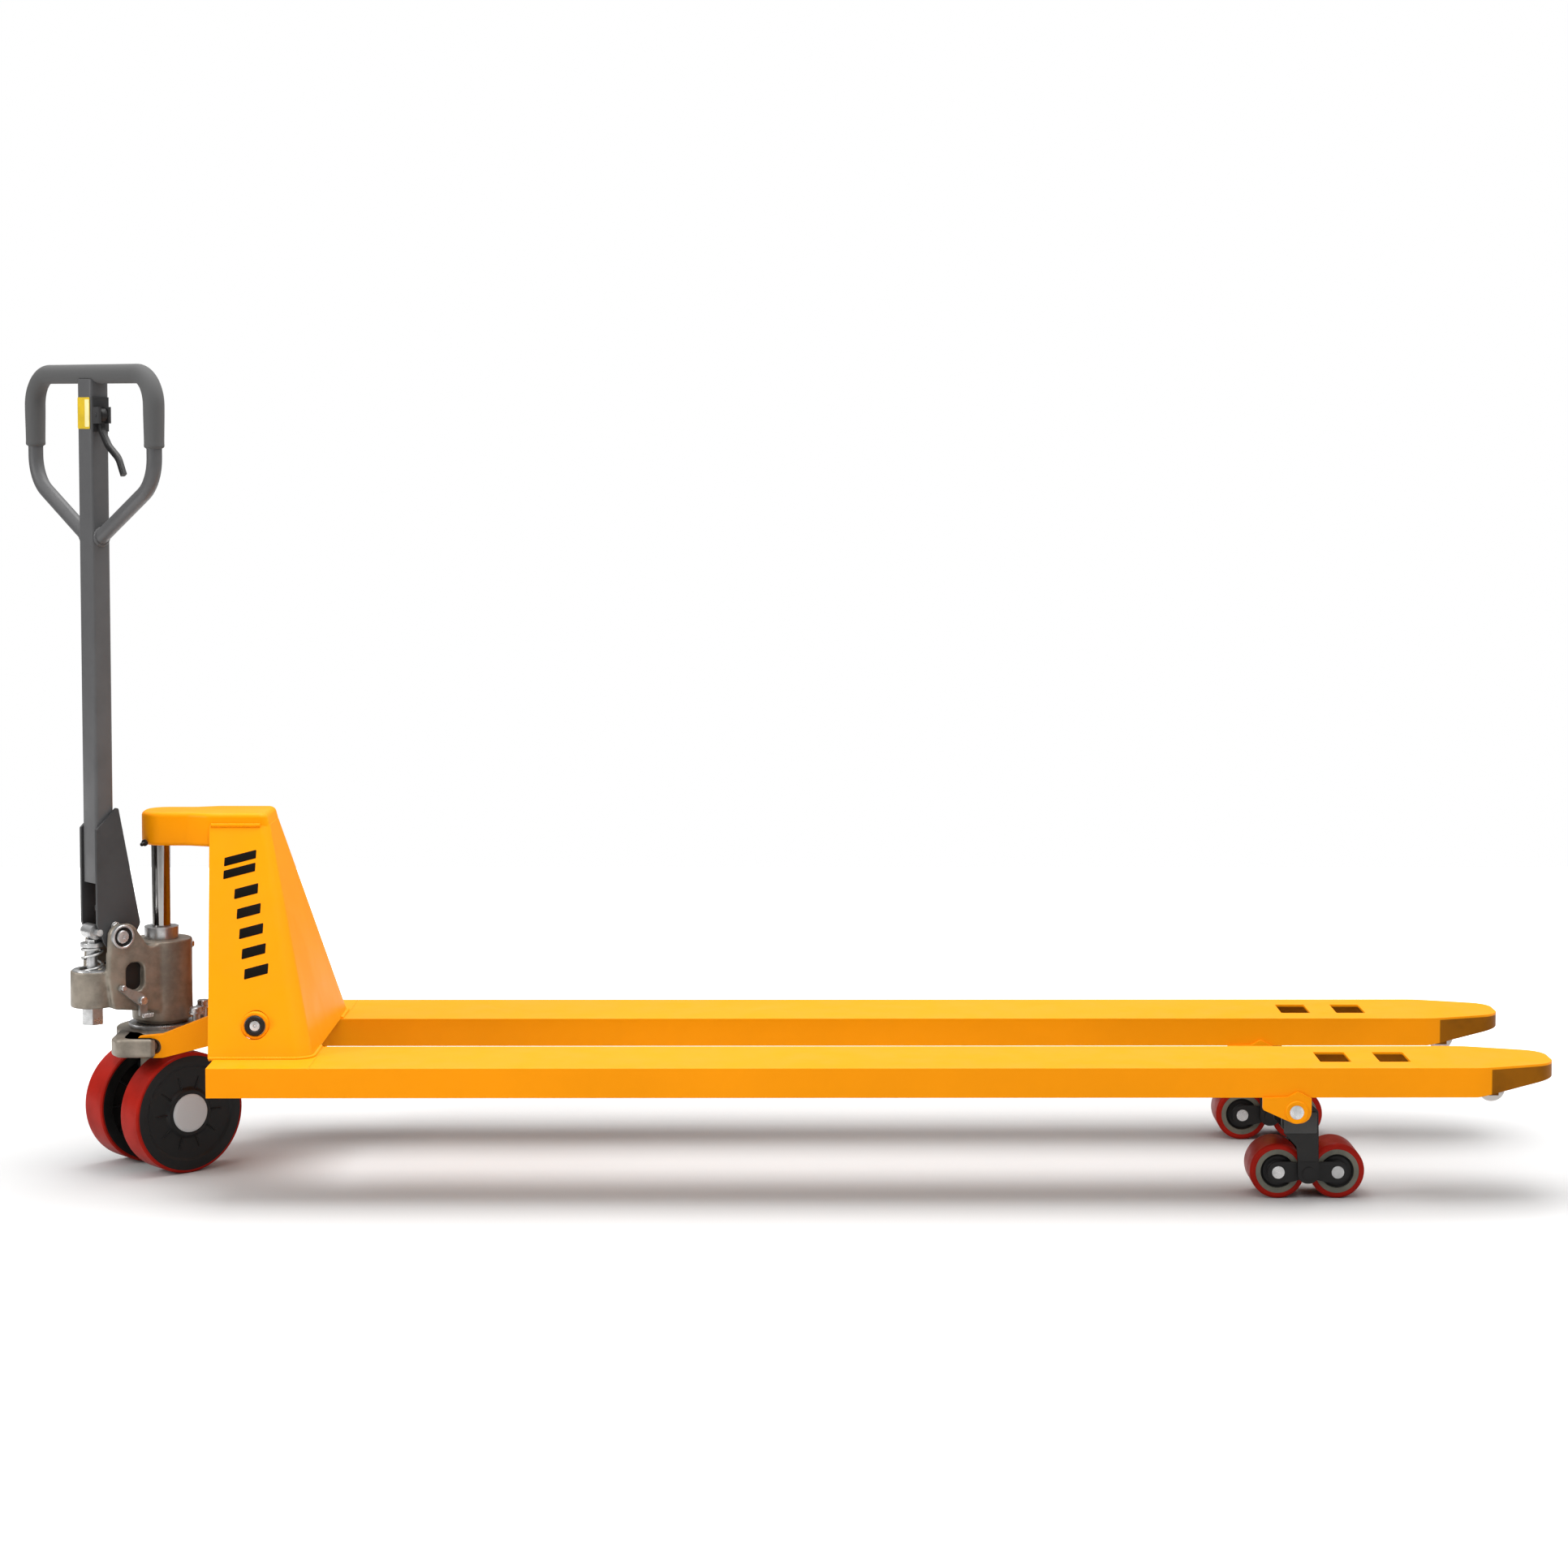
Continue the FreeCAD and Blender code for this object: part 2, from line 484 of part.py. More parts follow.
# ---------------------------------------------------------------- rocker and push rods
def rocker_group():
    sx, sz = val("shaft_x"), val("shaft_z")
    tube = across("rocker_tube_rad", 165, "shaft_x", "shaft_z")
    arm = [(-24, 181.0, 14), (20, 182), (176, 222, 10), (184, 262, 12), (150, 268, 20), (18, 216), (-24, 212, 14)]
    arms = both_sides(plate(arm, "XZ", "arm_in", "arm_thick"))
    lx, lz = sx + val("lug_dx"), sz + val("lug_dz")
    lug = [(sx - 16, sz - 4), (lx - 15, lz - 12, 12), (lx + 14, lz - 14, 12), (lx + 14, lz + 20, 10), (sx + 18, sz)]
    lugs = [both_sides(plate(lug, "XZ", y, 5)) for y in (147, 160)]
    slope = math.atan2(sz - val("link_pin_z"), sx)
    slot = [(-17, -12, 11), (17, -12, 11), (17, 12, 11), (-17, 12, 11)]
    turned = [(u * math.cos(slope) - v * math.sin(slope), u * math.sin(slope) + v * math.cos(slope) + 197, r)
              for u, v, r in slot]
    eyes = both_sides(plate(turned, "XZ", "arm_in - 5", 30))
    node(cut(fuse(tube, arms, *lugs), eyes, across("shaft_rad", 200, "shaft_x", "shaft_z"),
             across("crank_pin_rad", 200, lx, lz)), "rocker_arms")
    node(across("shaft_rad", "shaft_end", "shaft_x", "shaft_z"), "rocker_shaft")
    node(both_sides(rod("crank_pin_rad", 18, (lx, 147, lz), "Y")), "lug_pins")


def push_rod(side, sign):
    """Bar with a round eye on the rocker lug and a tall open slot that straddles the wheel frame's crank pin."""
    rear_x, rear_z = val("shaft_x") + val("lug_dx"), val("shaft_z") + val("lug_dz")
    front_x, front_z = val("load_x") + val("crank_dx"), val("load_z") + val("crank_dz")
    mid = val("rod_y") * sign
    thick = val("rod_eye")
    low_y = "-1 * ( %s )" % (mid + thick / 2)
    rear = plate(box_outline(rear_x - 14, rear_x + 32, rear_z - 14, rear_z + 14, 10), "XZ", low_y, thick)
    prongs = [(front_x - 24, front_z - 13, 8), (front_x + 15, front_z - 13, 8), (front_x + 15, front_z + 25, 3),
              (front_x - 24, front_z + 25, 8)]
    front = plate(prongs, "XZ", low_y, thick)
    bar_z = (rear_z + front_z) / 2
    bar = rod("rod_rad - 0.5", front_x - rear_x - 68, (rear_x + 28, mid, bar_z), "X")
    neck = plate(box_outline(front_x - 46, front_x - 18, bar_z - 6, bar_z + 6), "XZ", low_y, thick)
    slot = plate(box_outline(front_x - 10.5, front_x + 10.5, front_z - 8.8, front_z + 40, 8), "XZ",
                 "-1 * ( %s )" % (mid + 20), 40)
    eye = rod("crank_pin_rad + fit_gap", 40, (rear_x, mid - 20, rear_z), "Y")
    node(cut(fuse(rear, front, bar, neck), slot, eye), "push_rod_" + side)


# ---------------------------------------------------------------- load wheels
def wheel_frame(side, sign):
    mid = val("fork_mid") * sign
    lx, lz = val("load_x"), val("load_z")
    bx, bz = lx + val("bogie_dx"), lz + val("bogie_dz")
    hub = rod("load_hub_rad", 99, (lx, mid - 49.5, lz), "Y")
    arm = [(lx - 16, lz + 14, 9), (lx + 16, lz + 14, 9), (lx + 37, lz - 6, 8), (bx + 14.5, bz - 15, 14),
           (bx - 15.5, bz - 15, 14), (bx - 17, lz - 40, 10), (lx - 16, lz - 32, 10)]
    arms = [plate(arm, "XZ", "-1 * ( %s )" % (mid + y), 6) for y in (49.5, -43.5)]
    cx, cz = lx + val("crank_dx"), lz + val("crank_dz")
    lug = [(lx - 13, lz - 10, 8), (lx + 12, lz - 11, 8), (cx + 13, cz - 12, 10), (cx + 12, cz + 12, 11),
           (cx - 12, cz + 12, 11), (lx - 13, lz + 12, 8)]
    rod_mid = val("rod_y") * sign
    lugs = [plate(lug, "XZ", "-1 * ( %s )" % (rod_mid + y), 5) for y in (9.2, -4.2)]
    # The same pins are drilled out of the frame and then fitted in it.
    drills, pins = ([rod("crank_pin_rad", 19, (cx, rod_mid - 9.5, cz), "Y")] +
                    [rod("roller_axle", 15, (bx, mid + y, bz), "Y") for y in (36, -51)] for _ in range(2))
    bore = rod("load_pin_rad + fit_gap", 120, (lx, mid - 60, lz), "Y")
    # The hub is turned down between its lugs, where the push rod passes over it.
    gap = (lx, rod_mid - 4.2, lz)
    groove = cut(rod("load_hub_rad + 1", 8.4, gap, "Y"), rod("load_pin_rad + 2.4", 8.4, gap, "Y"))
    node(cut(fuse(hub, *arms, *lugs), groove, bore, *drills), "wheel_frame_" + side)
    node(fuse(*pins), "frame_pins_" + side)


def bogie(side, sign):
    mid = val("fork_mid") * sign
    bx, bz = val("load_x") + val("bogie_dx"), val("load_z") + val("bogie_dz")
    span, end = val("axle_span"), val("link_end")
    bone = [(bx - span - end, bz - end, 14.5), (bx - span + 16, bz - end, 6), (bx - 12, bz - 11, 6), (bx + 12, bz - 11, 6),
            (bx + span - 16, bz - end, 6), (bx + span + end, bz - end, 14.5), (bx + span + end, bz + end, 14.5),
            (bx + span - 16, bz + end, 6), (bx + 12, bz + 13, 6), (bx - 12, bz + 13, 6), (bx - span + 16, bz + end, 6),
            (bx - span - end, bz + end, 14.5)]
    holes = [(bx - span, bz, "roller_axle"), (bx + span, bz, "roller_axle")]
    links = [plate(bone, "XZ", "-1 * ( %s )" % (mid + y), 5, holes) for y in (41.5, -36.5)]
    node(cut(fuse(*links), rod("roller_axle + fit_gap", 120, (bx, mid - 60, bz), "Y")), "bogie_links_" + side)
    node(fuse(*[rod("roller_axle", 85.6, (bx + dx, mid - 42.8, bz), "Y") for dx in (-span, span)]),
         "roller_axles_" + side)
    for place, dx in (("rear", -span), ("front", span)):
        outer = rod("roller_rad", "2 * roller_half", (bx + dx, "%s - roller_half" % mid, bz), "Y")
        rim = rod("roller_core", 80, (bx + dx, mid - 40, bz), "Y")
        node(cut(outer, rim), "roller_tread_%s_%s" % (side, place))
        hub = rod("roller_core", "2 * roller_half", (bx + dx, "%s - roller_half" % mid, bz), "Y")
        bore = rod("roller_axle + fit_gap", 80, (bx + dx, mid - 40, bz), "Y")
        node(cut(hub, bore), "roller_core_%s_%s" % (side, place))


def entry_roller(side, sign):
    mid = val("fork_mid") * sign
    wheel = rod("entry_rad", "2 * entry_half", ("entry_x", "%s - entry_half" % mid, "entry_z"), "Y")
    bore = rod("entry_pin + fit_gap", 40, ("entry_x", mid - 20, "entry_z"), "Y")
    node(cut(wheel, bore), "entry_roller_" + side)


thrust_group()
pump_group()
pump_spring()
for side_name, side_sign in (("left", 1), ("right", -1)):
    steer_wheel(side_name, side_sign)
handle_group()
plunger_group()
hood()
head()
chassis_small()
rocker_group()
for side_name, side_sign in (("left", 1), ("right", -1)):
    fork(side_name, side_sign)
    push_rod(side_name, side_sign)
    wheel_frame(side_name, side_sign)
    bogie(side_name, side_sign)
    entry_roller(side_name, side_sign)
doc.recompute()

for item in doc.Objects:
    if "Invalid" in item.State or "Error" in item.State:
        raise RuntimeError("%s (%s) failed: %s" % (item.Name, item.Label, item.State))
os.makedirs("parts", exist_ok=True)
for item in NODES:
    shape = item.Shape
    if shape.isNull() or not shape.isValid() or shape.Volume <= 0:
        raise RuntimeError(item.Label + " has no valid shape")
for item in NODES:
    item.Shape.exportStep("parts/%s.step" % item.Label)
print(len(NODES), "sub-parts")
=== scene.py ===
"""Looks of a long-fork hand pallet jack: enamel, castings, wheels and fixings set round its CAD frame."""

import json
import math

import bmesh
import bpy
import numpy as np
from mathutils import Matrix, Vector


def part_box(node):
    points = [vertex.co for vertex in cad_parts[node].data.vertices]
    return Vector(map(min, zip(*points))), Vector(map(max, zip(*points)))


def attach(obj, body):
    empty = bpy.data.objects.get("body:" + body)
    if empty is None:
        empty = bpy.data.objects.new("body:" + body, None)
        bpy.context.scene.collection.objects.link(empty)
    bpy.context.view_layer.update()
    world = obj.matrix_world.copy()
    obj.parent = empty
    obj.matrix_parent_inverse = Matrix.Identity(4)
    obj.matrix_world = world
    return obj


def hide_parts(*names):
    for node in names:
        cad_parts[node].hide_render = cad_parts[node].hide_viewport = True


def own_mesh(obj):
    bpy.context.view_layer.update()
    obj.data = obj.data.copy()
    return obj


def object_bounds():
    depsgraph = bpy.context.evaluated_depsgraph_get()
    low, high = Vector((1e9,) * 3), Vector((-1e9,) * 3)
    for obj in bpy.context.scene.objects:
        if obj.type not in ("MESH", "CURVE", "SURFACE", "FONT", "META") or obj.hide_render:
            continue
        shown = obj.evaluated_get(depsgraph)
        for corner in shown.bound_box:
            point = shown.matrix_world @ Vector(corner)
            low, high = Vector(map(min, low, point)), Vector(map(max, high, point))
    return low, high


bl_info = {
    "name": "Long-fork pallet jack",
    "version": (1, 0, 0),
    "blender": (4, 5, 0),
    "location": "View3D > Sidebar > Pallet jack",
    "description": "Builds the visible pieces and finishes of a long-fork hand pallet jack",
    "category": "Object",
}

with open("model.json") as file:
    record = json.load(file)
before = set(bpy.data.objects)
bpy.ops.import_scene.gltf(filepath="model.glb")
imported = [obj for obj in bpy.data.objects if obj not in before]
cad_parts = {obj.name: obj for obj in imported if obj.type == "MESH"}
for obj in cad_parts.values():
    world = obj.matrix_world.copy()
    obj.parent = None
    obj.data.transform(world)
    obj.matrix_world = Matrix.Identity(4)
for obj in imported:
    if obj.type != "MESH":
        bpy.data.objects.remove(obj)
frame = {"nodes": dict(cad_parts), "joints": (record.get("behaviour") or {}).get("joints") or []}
CAD_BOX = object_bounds()
MM = 0.001
JOINTS = {joint["name"]: joint for joint in frame["joints"]}
STEER_AXIS = np.array(JOINTS["steer"]["pos_m"]) * (1, 1, 0)
TILT_AXIS = JOINTS["handle_tilt"]["axis"]
TURN = math.atan2(TILT_AXIS[0], -TILT_AXIS[1])
SIDES = (("left", 1), ("right", -1))

# Millimetres from the steering axis, as in_line and turned take them.
TILLER_X = -104.0
LOOP_HALF, LOOP_TOP = 173.5, 1186
LEVER_X, LEVER_Y, LEVER_Z = -107.0, -30, 1126
PLUNGER_X, WELL_LOW = -117, 268
WHEEL_OFFSET, WHEEL_RADIUS = 52.5, 90
HANDLE_PIVOT_X, EAR_OUT, HANDLE_PIVOT_Z = -88, 38, 359
SHAFT_X, SHAFT_END, SHAFT_Z = 168.5, 187, 245
FORK_MIDDLE = 192.5
LOAD_X, LOAD_Z = 1666, 137
HOOD_HALF, NECK_HALF, HOOD_RISE = 205.0, 52.0, 320.0


# ---------------------------------------------------------------- sizes and colours
def length(name, description, default):
    """A length setting, in metres."""
    return bpy.props.FloatProperty(name=name, description=description, default=default, min=0.0, unit="LENGTH")


def colour(name, description, default):
    """A colour setting, in linear red, green and blue."""
    return bpy.props.FloatVectorProperty(
        name=name, description=description, default=default, size=3, min=0.0, max=1.0, subtype="COLOR")


class JackSizes(bpy.types.PropertyGroup):
    sheet_edge: length("Sheet edge", "Rounding of the painted sheet's edges", 0.0016)
    machined_edge: length("Machined edge", "Rounding of pins, washers and machined parts", 0.0005)
    casting_grain: length("Casting grain", "Size of the soft facets that round a casting's edges", 0.0022)
    spring_wire: length("Spring wire", "Radius of the pump spring's wire", 0.0021)
    tread_shoulder: length("Tread shoulder", "Rounding of the steering wheels' tread", 0.006)
    weld_width: length("Weld width", "Radius of the weld beads", 0.0028)


class JackColours(bpy.types.PropertyGroup):
    enamel: colour("Enamel", "Yellow of the forks and the hood", (0.86, 0.285, 0.0010))
    tiller: colour("Tiller", "Dark grey of the handle", (0.088, 0.088, 0.09))
    black: colour("Black", "Black of the wheel cores and frames", (0.0065, 0.0062, 0.0062))
    casting: colour("Casting", "Silver paint of the pump casting", (0.27, 0.235, 0.19))
    tread: colour("Tread", "Red of the wheel treads", (0.34, 0.012, 0.006))
    grip: colour("Grip", "Dark grey of the rubber grip", (0.062, 0.062, 0.064))


# ---------------------------------------------------------------- places
def in_line(points):
    """Millimetres from the steering axis, in line with the forks, to metres in the row frame."""
    return np.asarray(points, float) * MM + STEER_AXIS


def turned(points):
    """Millimetres from the steering axis, on the turned steering unit, to metres in the row frame."""
    p = np.asarray(points, float) * MM
    c, s = math.cos(TURN), math.sin(TURN)
    return np.stack([p[..., 0] * c - p[..., 1] * s, p[..., 0] * s + p[..., 1] * c, p[..., 2]], -1) + STEER_AXIS


# ---------------------------------------------------------------- surfaces
def skin(grid, ring=False, tube=True, ends=True):
    """A grid of points as quads. tube closes each row, ring joins the last row to the first, ends caps both rows."""
    rows, columns = grid.shape[:2]
    i, j = np.meshgrid(np.arange(rows if ring else rows - 1), np.arange(columns if tube else columns - 1),
                       indexing="ij")
    k, m = (i + 1) % rows, (j + 1) % columns
    quads = np.stack([i * columns + j, k * columns + j, k * columns + m, i * columns + m], -1).reshape(-1, 4)
    faces = quads.tolist()
    if ends and not ring:
        faces += [list(range(columns))[::-1], list(range((rows - 1) * columns, rows * columns))]
    return grid.reshape(-1, 3), faces


def eased(corners, radius, steps=8, closed=True):
    """Corners eased by arcs: each arc is the rational quadratic curve between its two tangent points,
    with the corner as its middle point weighted by the sine of half the corner's angle."""
    p = np.asarray(corners, float)
    r = np.array(np.broadcast_to(radius, len(p)), float)
    if not closed:
        r[[0, -1]] = 0
    back, ahead = np.roll(p, 1, 0) - p, np.roll(p, -1, 0) - p
    back /= np.linalg.norm(back, axis=1, keepdims=True)
    ahead /= np.linalg.norm(ahead, axis=1, keepdims=True)
    half = np.arccos(np.clip((back * ahead).sum(1), -1, 0.99999)) / 2
    reach = (r / np.tan(np.maximum(half, 1e-3)))[:, None, None]
    t = np.linspace(0, 1, steps)[None, :, None]
    a, b, c = (1 - t) ** 2, 2 * np.sin(half)[:, None, None] * t * (1 - t), t ** 2
    middle = p[:, None]
    arcs = (a * (middle + back[:, None] * reach) + b * middle + c * (middle + ahead[:, None] * reach)) / (a + b + c)
    line = arcs.reshape(-1, p.shape[1])
    keep = np.linalg.norm(line - np.roll(line, 1, 0), axis=1) > 1e-6
    if not closed:
        keep[0] = True
    return line[keep]


def circle(radius, count=24, squash=1.0):
    """Points at equal angles round a circle, its second measure scaled by squash."""
    t = np.linspace(0, 2 * math.pi, count, endpoint=False)
    return np.stack([radius * np.cos(t), radius * squash * np.sin(t)], -1)


def carried(profile, path, up, scale=1.0):
    """A profile carried along a path: each point is path + side * profile x + up' * profile y, where side is
    the path's direction crossed with up, and up' is square to both. scale varies the profile along the path."""
    path = np.asarray(path, float)
    along = np.gradient(path, axis=0)
    along /= np.linalg.norm(along, axis=1, keepdims=True)
    side = np.cross(along, np.broadcast_to(up, path.shape))
    side /= np.linalg.norm(side, axis=1, keepdims=True)
    rise = np.cross(side, along)
    scale = np.broadcast_to(scale, len(path))[:, None, None]
    profile = np.asarray(profile, float)[None] * scale
    return path[:, None] + side[:, None] * profile[..., :1] + rise[:, None] * profile[..., 1:]


def revolved(profile, centre, axis, count=72, factor=1.0):
    """A profile of (radius, distance along the axis) turned round the axis: centre + axis * distance +
    radius * (first * cos t + second * sin t). factor changes the radius with t, as for a hexagon."""
    axis = np.asarray(axis, float) / np.linalg.norm(axis)
    first = np.cross(axis, (0.0, 0.0, 1.0) if abs(axis[2]) < 0.9 else (1.0, 0.0, 0.0))
    first /= np.linalg.norm(first)
    second = np.cross(axis, first)
    t = np.linspace(0, 2 * math.pi, count, endpoint=False)[None, :, None]
    profile = np.asarray(profile, float)
    radius = profile[:, 0][:, None, None] * np.broadcast_to(factor, count)[None, :, None]
    return np.asarray(centre) + axis * profile[:, 1][:, None, None] + radius * (
        first * np.cos(t) + second * np.sin(t))


def hexagon(count=72):
    """How far a hexagon's side is from its centre at each angle, where the flats are at 1."""
    t = np.linspace(0, 2 * math.pi, count, endpoint=False)
    return 1 / np.cos((t + math.pi / 6) % (math.pi / 3) - math.pi / 6)


def slab(outline, low, high, edge=0.8, steps=4):
    """A flat piece with rounded edges: the outline repeated from low to high, drawn in along its own normals
    by edge * (1 - sin a) while its height goes by edge * (1 - cos a) from either face."""
    outline = np.asarray(outline, float)
    along = np.roll(outline, -1, 0) - np.roll(outline, 1, 0)
    inward = np.stack([-along[:, 1], along[:, 0]], -1) / np.linalg.norm(along, axis=1, keepdims=True)
    x, y = outline.T
    if (x * np.roll(y, -1) - np.roll(x, -1) * y).sum() < 0:
        inward = -inward
    a = np.linspace(0, math.pi / 2, steps)
    draw = np.concatenate([edge * (1 - np.sin(a)), edge * (1 - np.sin(a[::-1]))])
    height = np.concatenate([low + edge * (1 - np.cos(a)), high - edge * (1 - np.cos(a[::-1]))])
    flat = outline[None] + inward[None] * draw[:, None, None]
    return np.concatenate([flat, np.broadcast_to(height[:, None, None], flat.shape[:2] + (1,))], -1)


def piece(name, skins, finish, body, stands_for=(), crease=35):
    """Joins skins into one mesh with its faces outwards, smooth up to the crease angle, riding on its body."""
    points, faces, start = [], [], 0
    for verts, quads in skins:
        points.append(verts)
        faces += [[index + start for index in quad] for quad in quads]
        start += len(verts)
    mesh = bpy.data.meshes.new(name)
    mesh.from_pydata(np.concatenate(points).tolist(), [], faces)
    work = bmesh.new()
    work.from_mesh(mesh)
    bmesh.ops.remove_doubles(work, verts=work.verts, dist=2e-6)
    bmesh.ops.recalc_face_normals(work, faces=work.faces)
    work.to_mesh(mesh)
    work.free()
    mesh.shade_smooth()
    mesh.set_sharp_from_angle(angle=math.radians(crease))
    obj = bpy.data.objects.new(name, mesh)
    bpy.context.scene.collection.objects.link(obj)
    mesh.materials.append(material(finish))
    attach(obj, body)
    if stands_for:
        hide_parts(*stands_for)
    return obj


def bolt(centre, axis, radius=6.0, height=4.0, place=turned):
    """A hexagon head on a washer: a profile turned round the axis, its radius multiplied by the hexagon's."""
    c = place(centre)
    tip = place(np.asarray(centre, float) + np.asarray(axis, float))
    axis = (tip - c) / np.linalg.norm(tip - c)
    r, h = radius * MM, height * MM
    washer = [(0, 0), (r * 1.45, 0), (r * 1.45, h * 0.22), (r * 1.4, h * 0.3), (0, h * 0.3)]
    head = [(0, h * 0.3), (r, h * 0.3), (r, h * 0.9), (r * 0.93, h), (r * 0.55, h), (r * 0.45, h * 0.92), (0, h * 0.9)]
    return [skin(revolved(washer, c, axis, 48), ends=False),
            skin(revolved(head, c, axis, 72, hexagon(72)), ends=False)]


def weld_bead(path, up, place=in_line):
    """A bead of weld: a circle carried along the path, its radius rippled by a sine."""
    line = place(path)
    run = np.concatenate([[0], np.cumsum(np.linalg.norm(np.diff(line, axis=0), axis=1))])
    count = max(int(run[-1] / 0.0007), 8)
    t = np.linspace(0, run[-1], count)
    dense = np.stack([np.interp(t, run, line[:, axis]) for axis in range(3)], -1)
    width = bpy.context.scene.jack_sizes.weld_width
    ripple = 1 + 0.14 * np.abs(np.sin(t * math.pi / 0.0042))
    ripple[[0, -1]] = 0.25
    return skin(carried(circle(width, 12), dense, up, ripple))


# ---------------------------------------------------------------- shared effects
def put(tree, kind, settings=None, **sockets):
    """A node with its settings, and each named socket linked or set. An underscore stands for a space."""
    made = tree.nodes.new(kind)
    for key, value in (settings or {}).items():
        setattr(made, key, value)
    for key, value in sockets.items():
        numbered = key[0] == "n" and key[1:].isdigit()
        socket = made.inputs[int(key[1:]) if numbered else key.replace("_", " ")]
        if isinstance(value, bpy.types.NodeSocket):
            tree.links.new(value, socket)
        else:
            socket.default_value = value
    return made


def effect(name, inputs, outputs):
    """An empty node group with its named sockets. inputs and outputs are (name, kind, default)."""
    tree = bpy.data.node_groups.new(name, "ShaderNodeTree")
    for label, kind, default in inputs:
        socket = tree.interface.new_socket(label, in_out="INPUT", socket_type="NodeSocket" + kind)
        socket.default_value = default
    for label, kind in outputs:
        tree.interface.new_socket(label, in_out="OUTPUT", socket_type="NodeSocket" + kind)
    return tree, tree.nodes.new("NodeGroupInput").outputs, tree.nodes.new("NodeGroupOutput").inputs


def ramp(tree, value, low, high, start=0.0, stop=1.0):
    """value between low and high, spread from start to stop."""
    return put(tree, "ShaderNodeMapRange", {"interpolation_type": "SMOOTHSTEP"}, Value=value, From_Min=low,
               From_Max=high, To_Min=start, To_Max=stop).outputs["Result"]


def mixed(tree, factor, a, b):
    """Colour a turning to colour b with the factor."""
    return put(tree, "ShaderNodeMix", {"data_type": "RGBA"}, n0=factor, n6=a, n7=b).outputs[2]


def make_effects():
    """The groups that several finishes share: mottling, sprayed skin, handling wear and dust."""
    tree, inside, out = effect("Mottled tone", [("Colour", "Color", (1, 1, 1, 1)), ("Shade", "Color", (0, 0, 0, 1)),
                                                ("Scale", "Float", 8.0)], [("Colour", "Color"), ("Mask", "Float")])
    where = tree.nodes.new("ShaderNodeTexCoord").outputs["Object"]
    cloud = put(tree, "ShaderNodeTexNoise", Vector=where, Scale=inside["Scale"], Detail=4.0, Roughness=0.6)
    mask = ramp(tree, cloud.outputs["Fac"], 0.35, 0.7)
    tree.links.new(mixed(tree, mask, inside["Colour"], inside["Shade"]), out["Colour"])
    tree.links.new(mask, out["Mask"])

    tree, inside, out = effect("Sprayed skin", [("Coarse", "Float", 60.0), ("Fine", "Float", 600.0),
                                                ("Share", "Float", 0.3)], [("Height", "Float")])
    where = tree.nodes.new("ShaderNodeTexCoord").outputs["Object"]
    wide = put(tree, "ShaderNodeTexNoise", Vector=where, Scale=inside["Coarse"], Detail=2.0)
    tight = put(tree, "ShaderNodeTexNoise", Vector=where, Scale=inside["Fine"], Detail=3.0)
    height = put(tree, "ShaderNodeMix", {"data_type": "FLOAT"}, n0=inside["Share"], n2=wide.outputs["Fac"],
                 n3=tight.outputs["Fac"])
    tree.links.new(height.outputs[0], out["Height"])

    tree, inside, out = effect("Handling wear", [("Colour", "Color", (1, 1, 1, 1)), ("Worn", "Color", (0, 0, 0, 1)),
                                                 ("Scale", "Float", 40.0), ("Amount", "Float", 0.2)],
                               [("Colour", "Color"), ("Mask", "Float")])
    where = tree.nodes.new("ShaderNodeTexCoord").outputs["Object"]
    patch = put(tree, "ShaderNodeTexNoise", Vector=where, Scale=6.0, Detail=3.0)
    stretch = put(tree, "ShaderNodeMapping", Vector=where, Scale=(0.35, 1.0, 1.6), Rotation=(0.3, 0.5, 0.2))
    fleck = put(tree, "ShaderNodeTexNoise", Vector=stretch.outputs[0], Scale=inside["Scale"], Detail=8.0, Roughness=0.7)
    sparse = ramp(tree, fleck.outputs["Fac"], 0.66, 0.74)
    spread = ramp(tree, patch.outputs["Fac"], 0.45, 0.7)
    both = put(tree, "ShaderNodeMath", {"operation": "MULTIPLY"}, n0=sparse, n1=spread)
    share = put(tree, "ShaderNodeMath", {"operation": "MULTIPLY"}, n0=both.outputs[0], n1=inside["Amount"])
    tree.links.new(mixed(tree, share.outputs[0], inside["Colour"], inside["Worn"]), out["Colour"])
    tree.links.new(share.outputs[0], out["Mask"])

    tree, inside, out = effect("Settled dust", [("Colour", "Color", (1, 1, 1, 1)),
                                                ("Dust", "Color", (0.36, 0.33, 0.29, 1)),
                                                ("Amount", "Float", 0.1)], [("Colour", "Color"), ("Mask", "Float")])
    where = tree.nodes.new("ShaderNodeTexCoord")
    up = put(tree, "ShaderNodeSeparateXYZ", Vector=where.outputs["Normal"]).outputs["Z"]
    lying = ramp(tree, up, 0.2, 1.0)
    cloud = put(tree, "ShaderNodeTexNoise", Vector=where.outputs["Object"], Scale=22.0, Detail=5.0, Roughness=0.65)
    uneven = ramp(tree, cloud.outputs["Fac"], 0.3, 0.75)
    both = put(tree, "ShaderNodeMath", {"operation": "MULTIPLY"}, n0=lying, n1=uneven)
    share = put(tree, "ShaderNodeMath", {"operation": "MULTIPLY"}, n0=both.outputs[0], n1=inside["Amount"])
    tree.links.new(mixed(tree, share.outputs[0], inside["Colour"], inside["Dust"]), out["Colour"])
    tree.links.new(share.outputs[0], out["Mask"])


def share_of(tree, name, **sockets):
    """A shared effect placed in a material with its own values."""
    made = put(tree, "ShaderNodeGroup", {"node_tree": bpy.data.node_groups[name]})
    for key, value in sockets.items():
        if isinstance(value, bpy.types.NodeSocket):
            tree.links.new(value, made.inputs[key])
        else:
            made.inputs[key].default_value = value
    return made.outputs


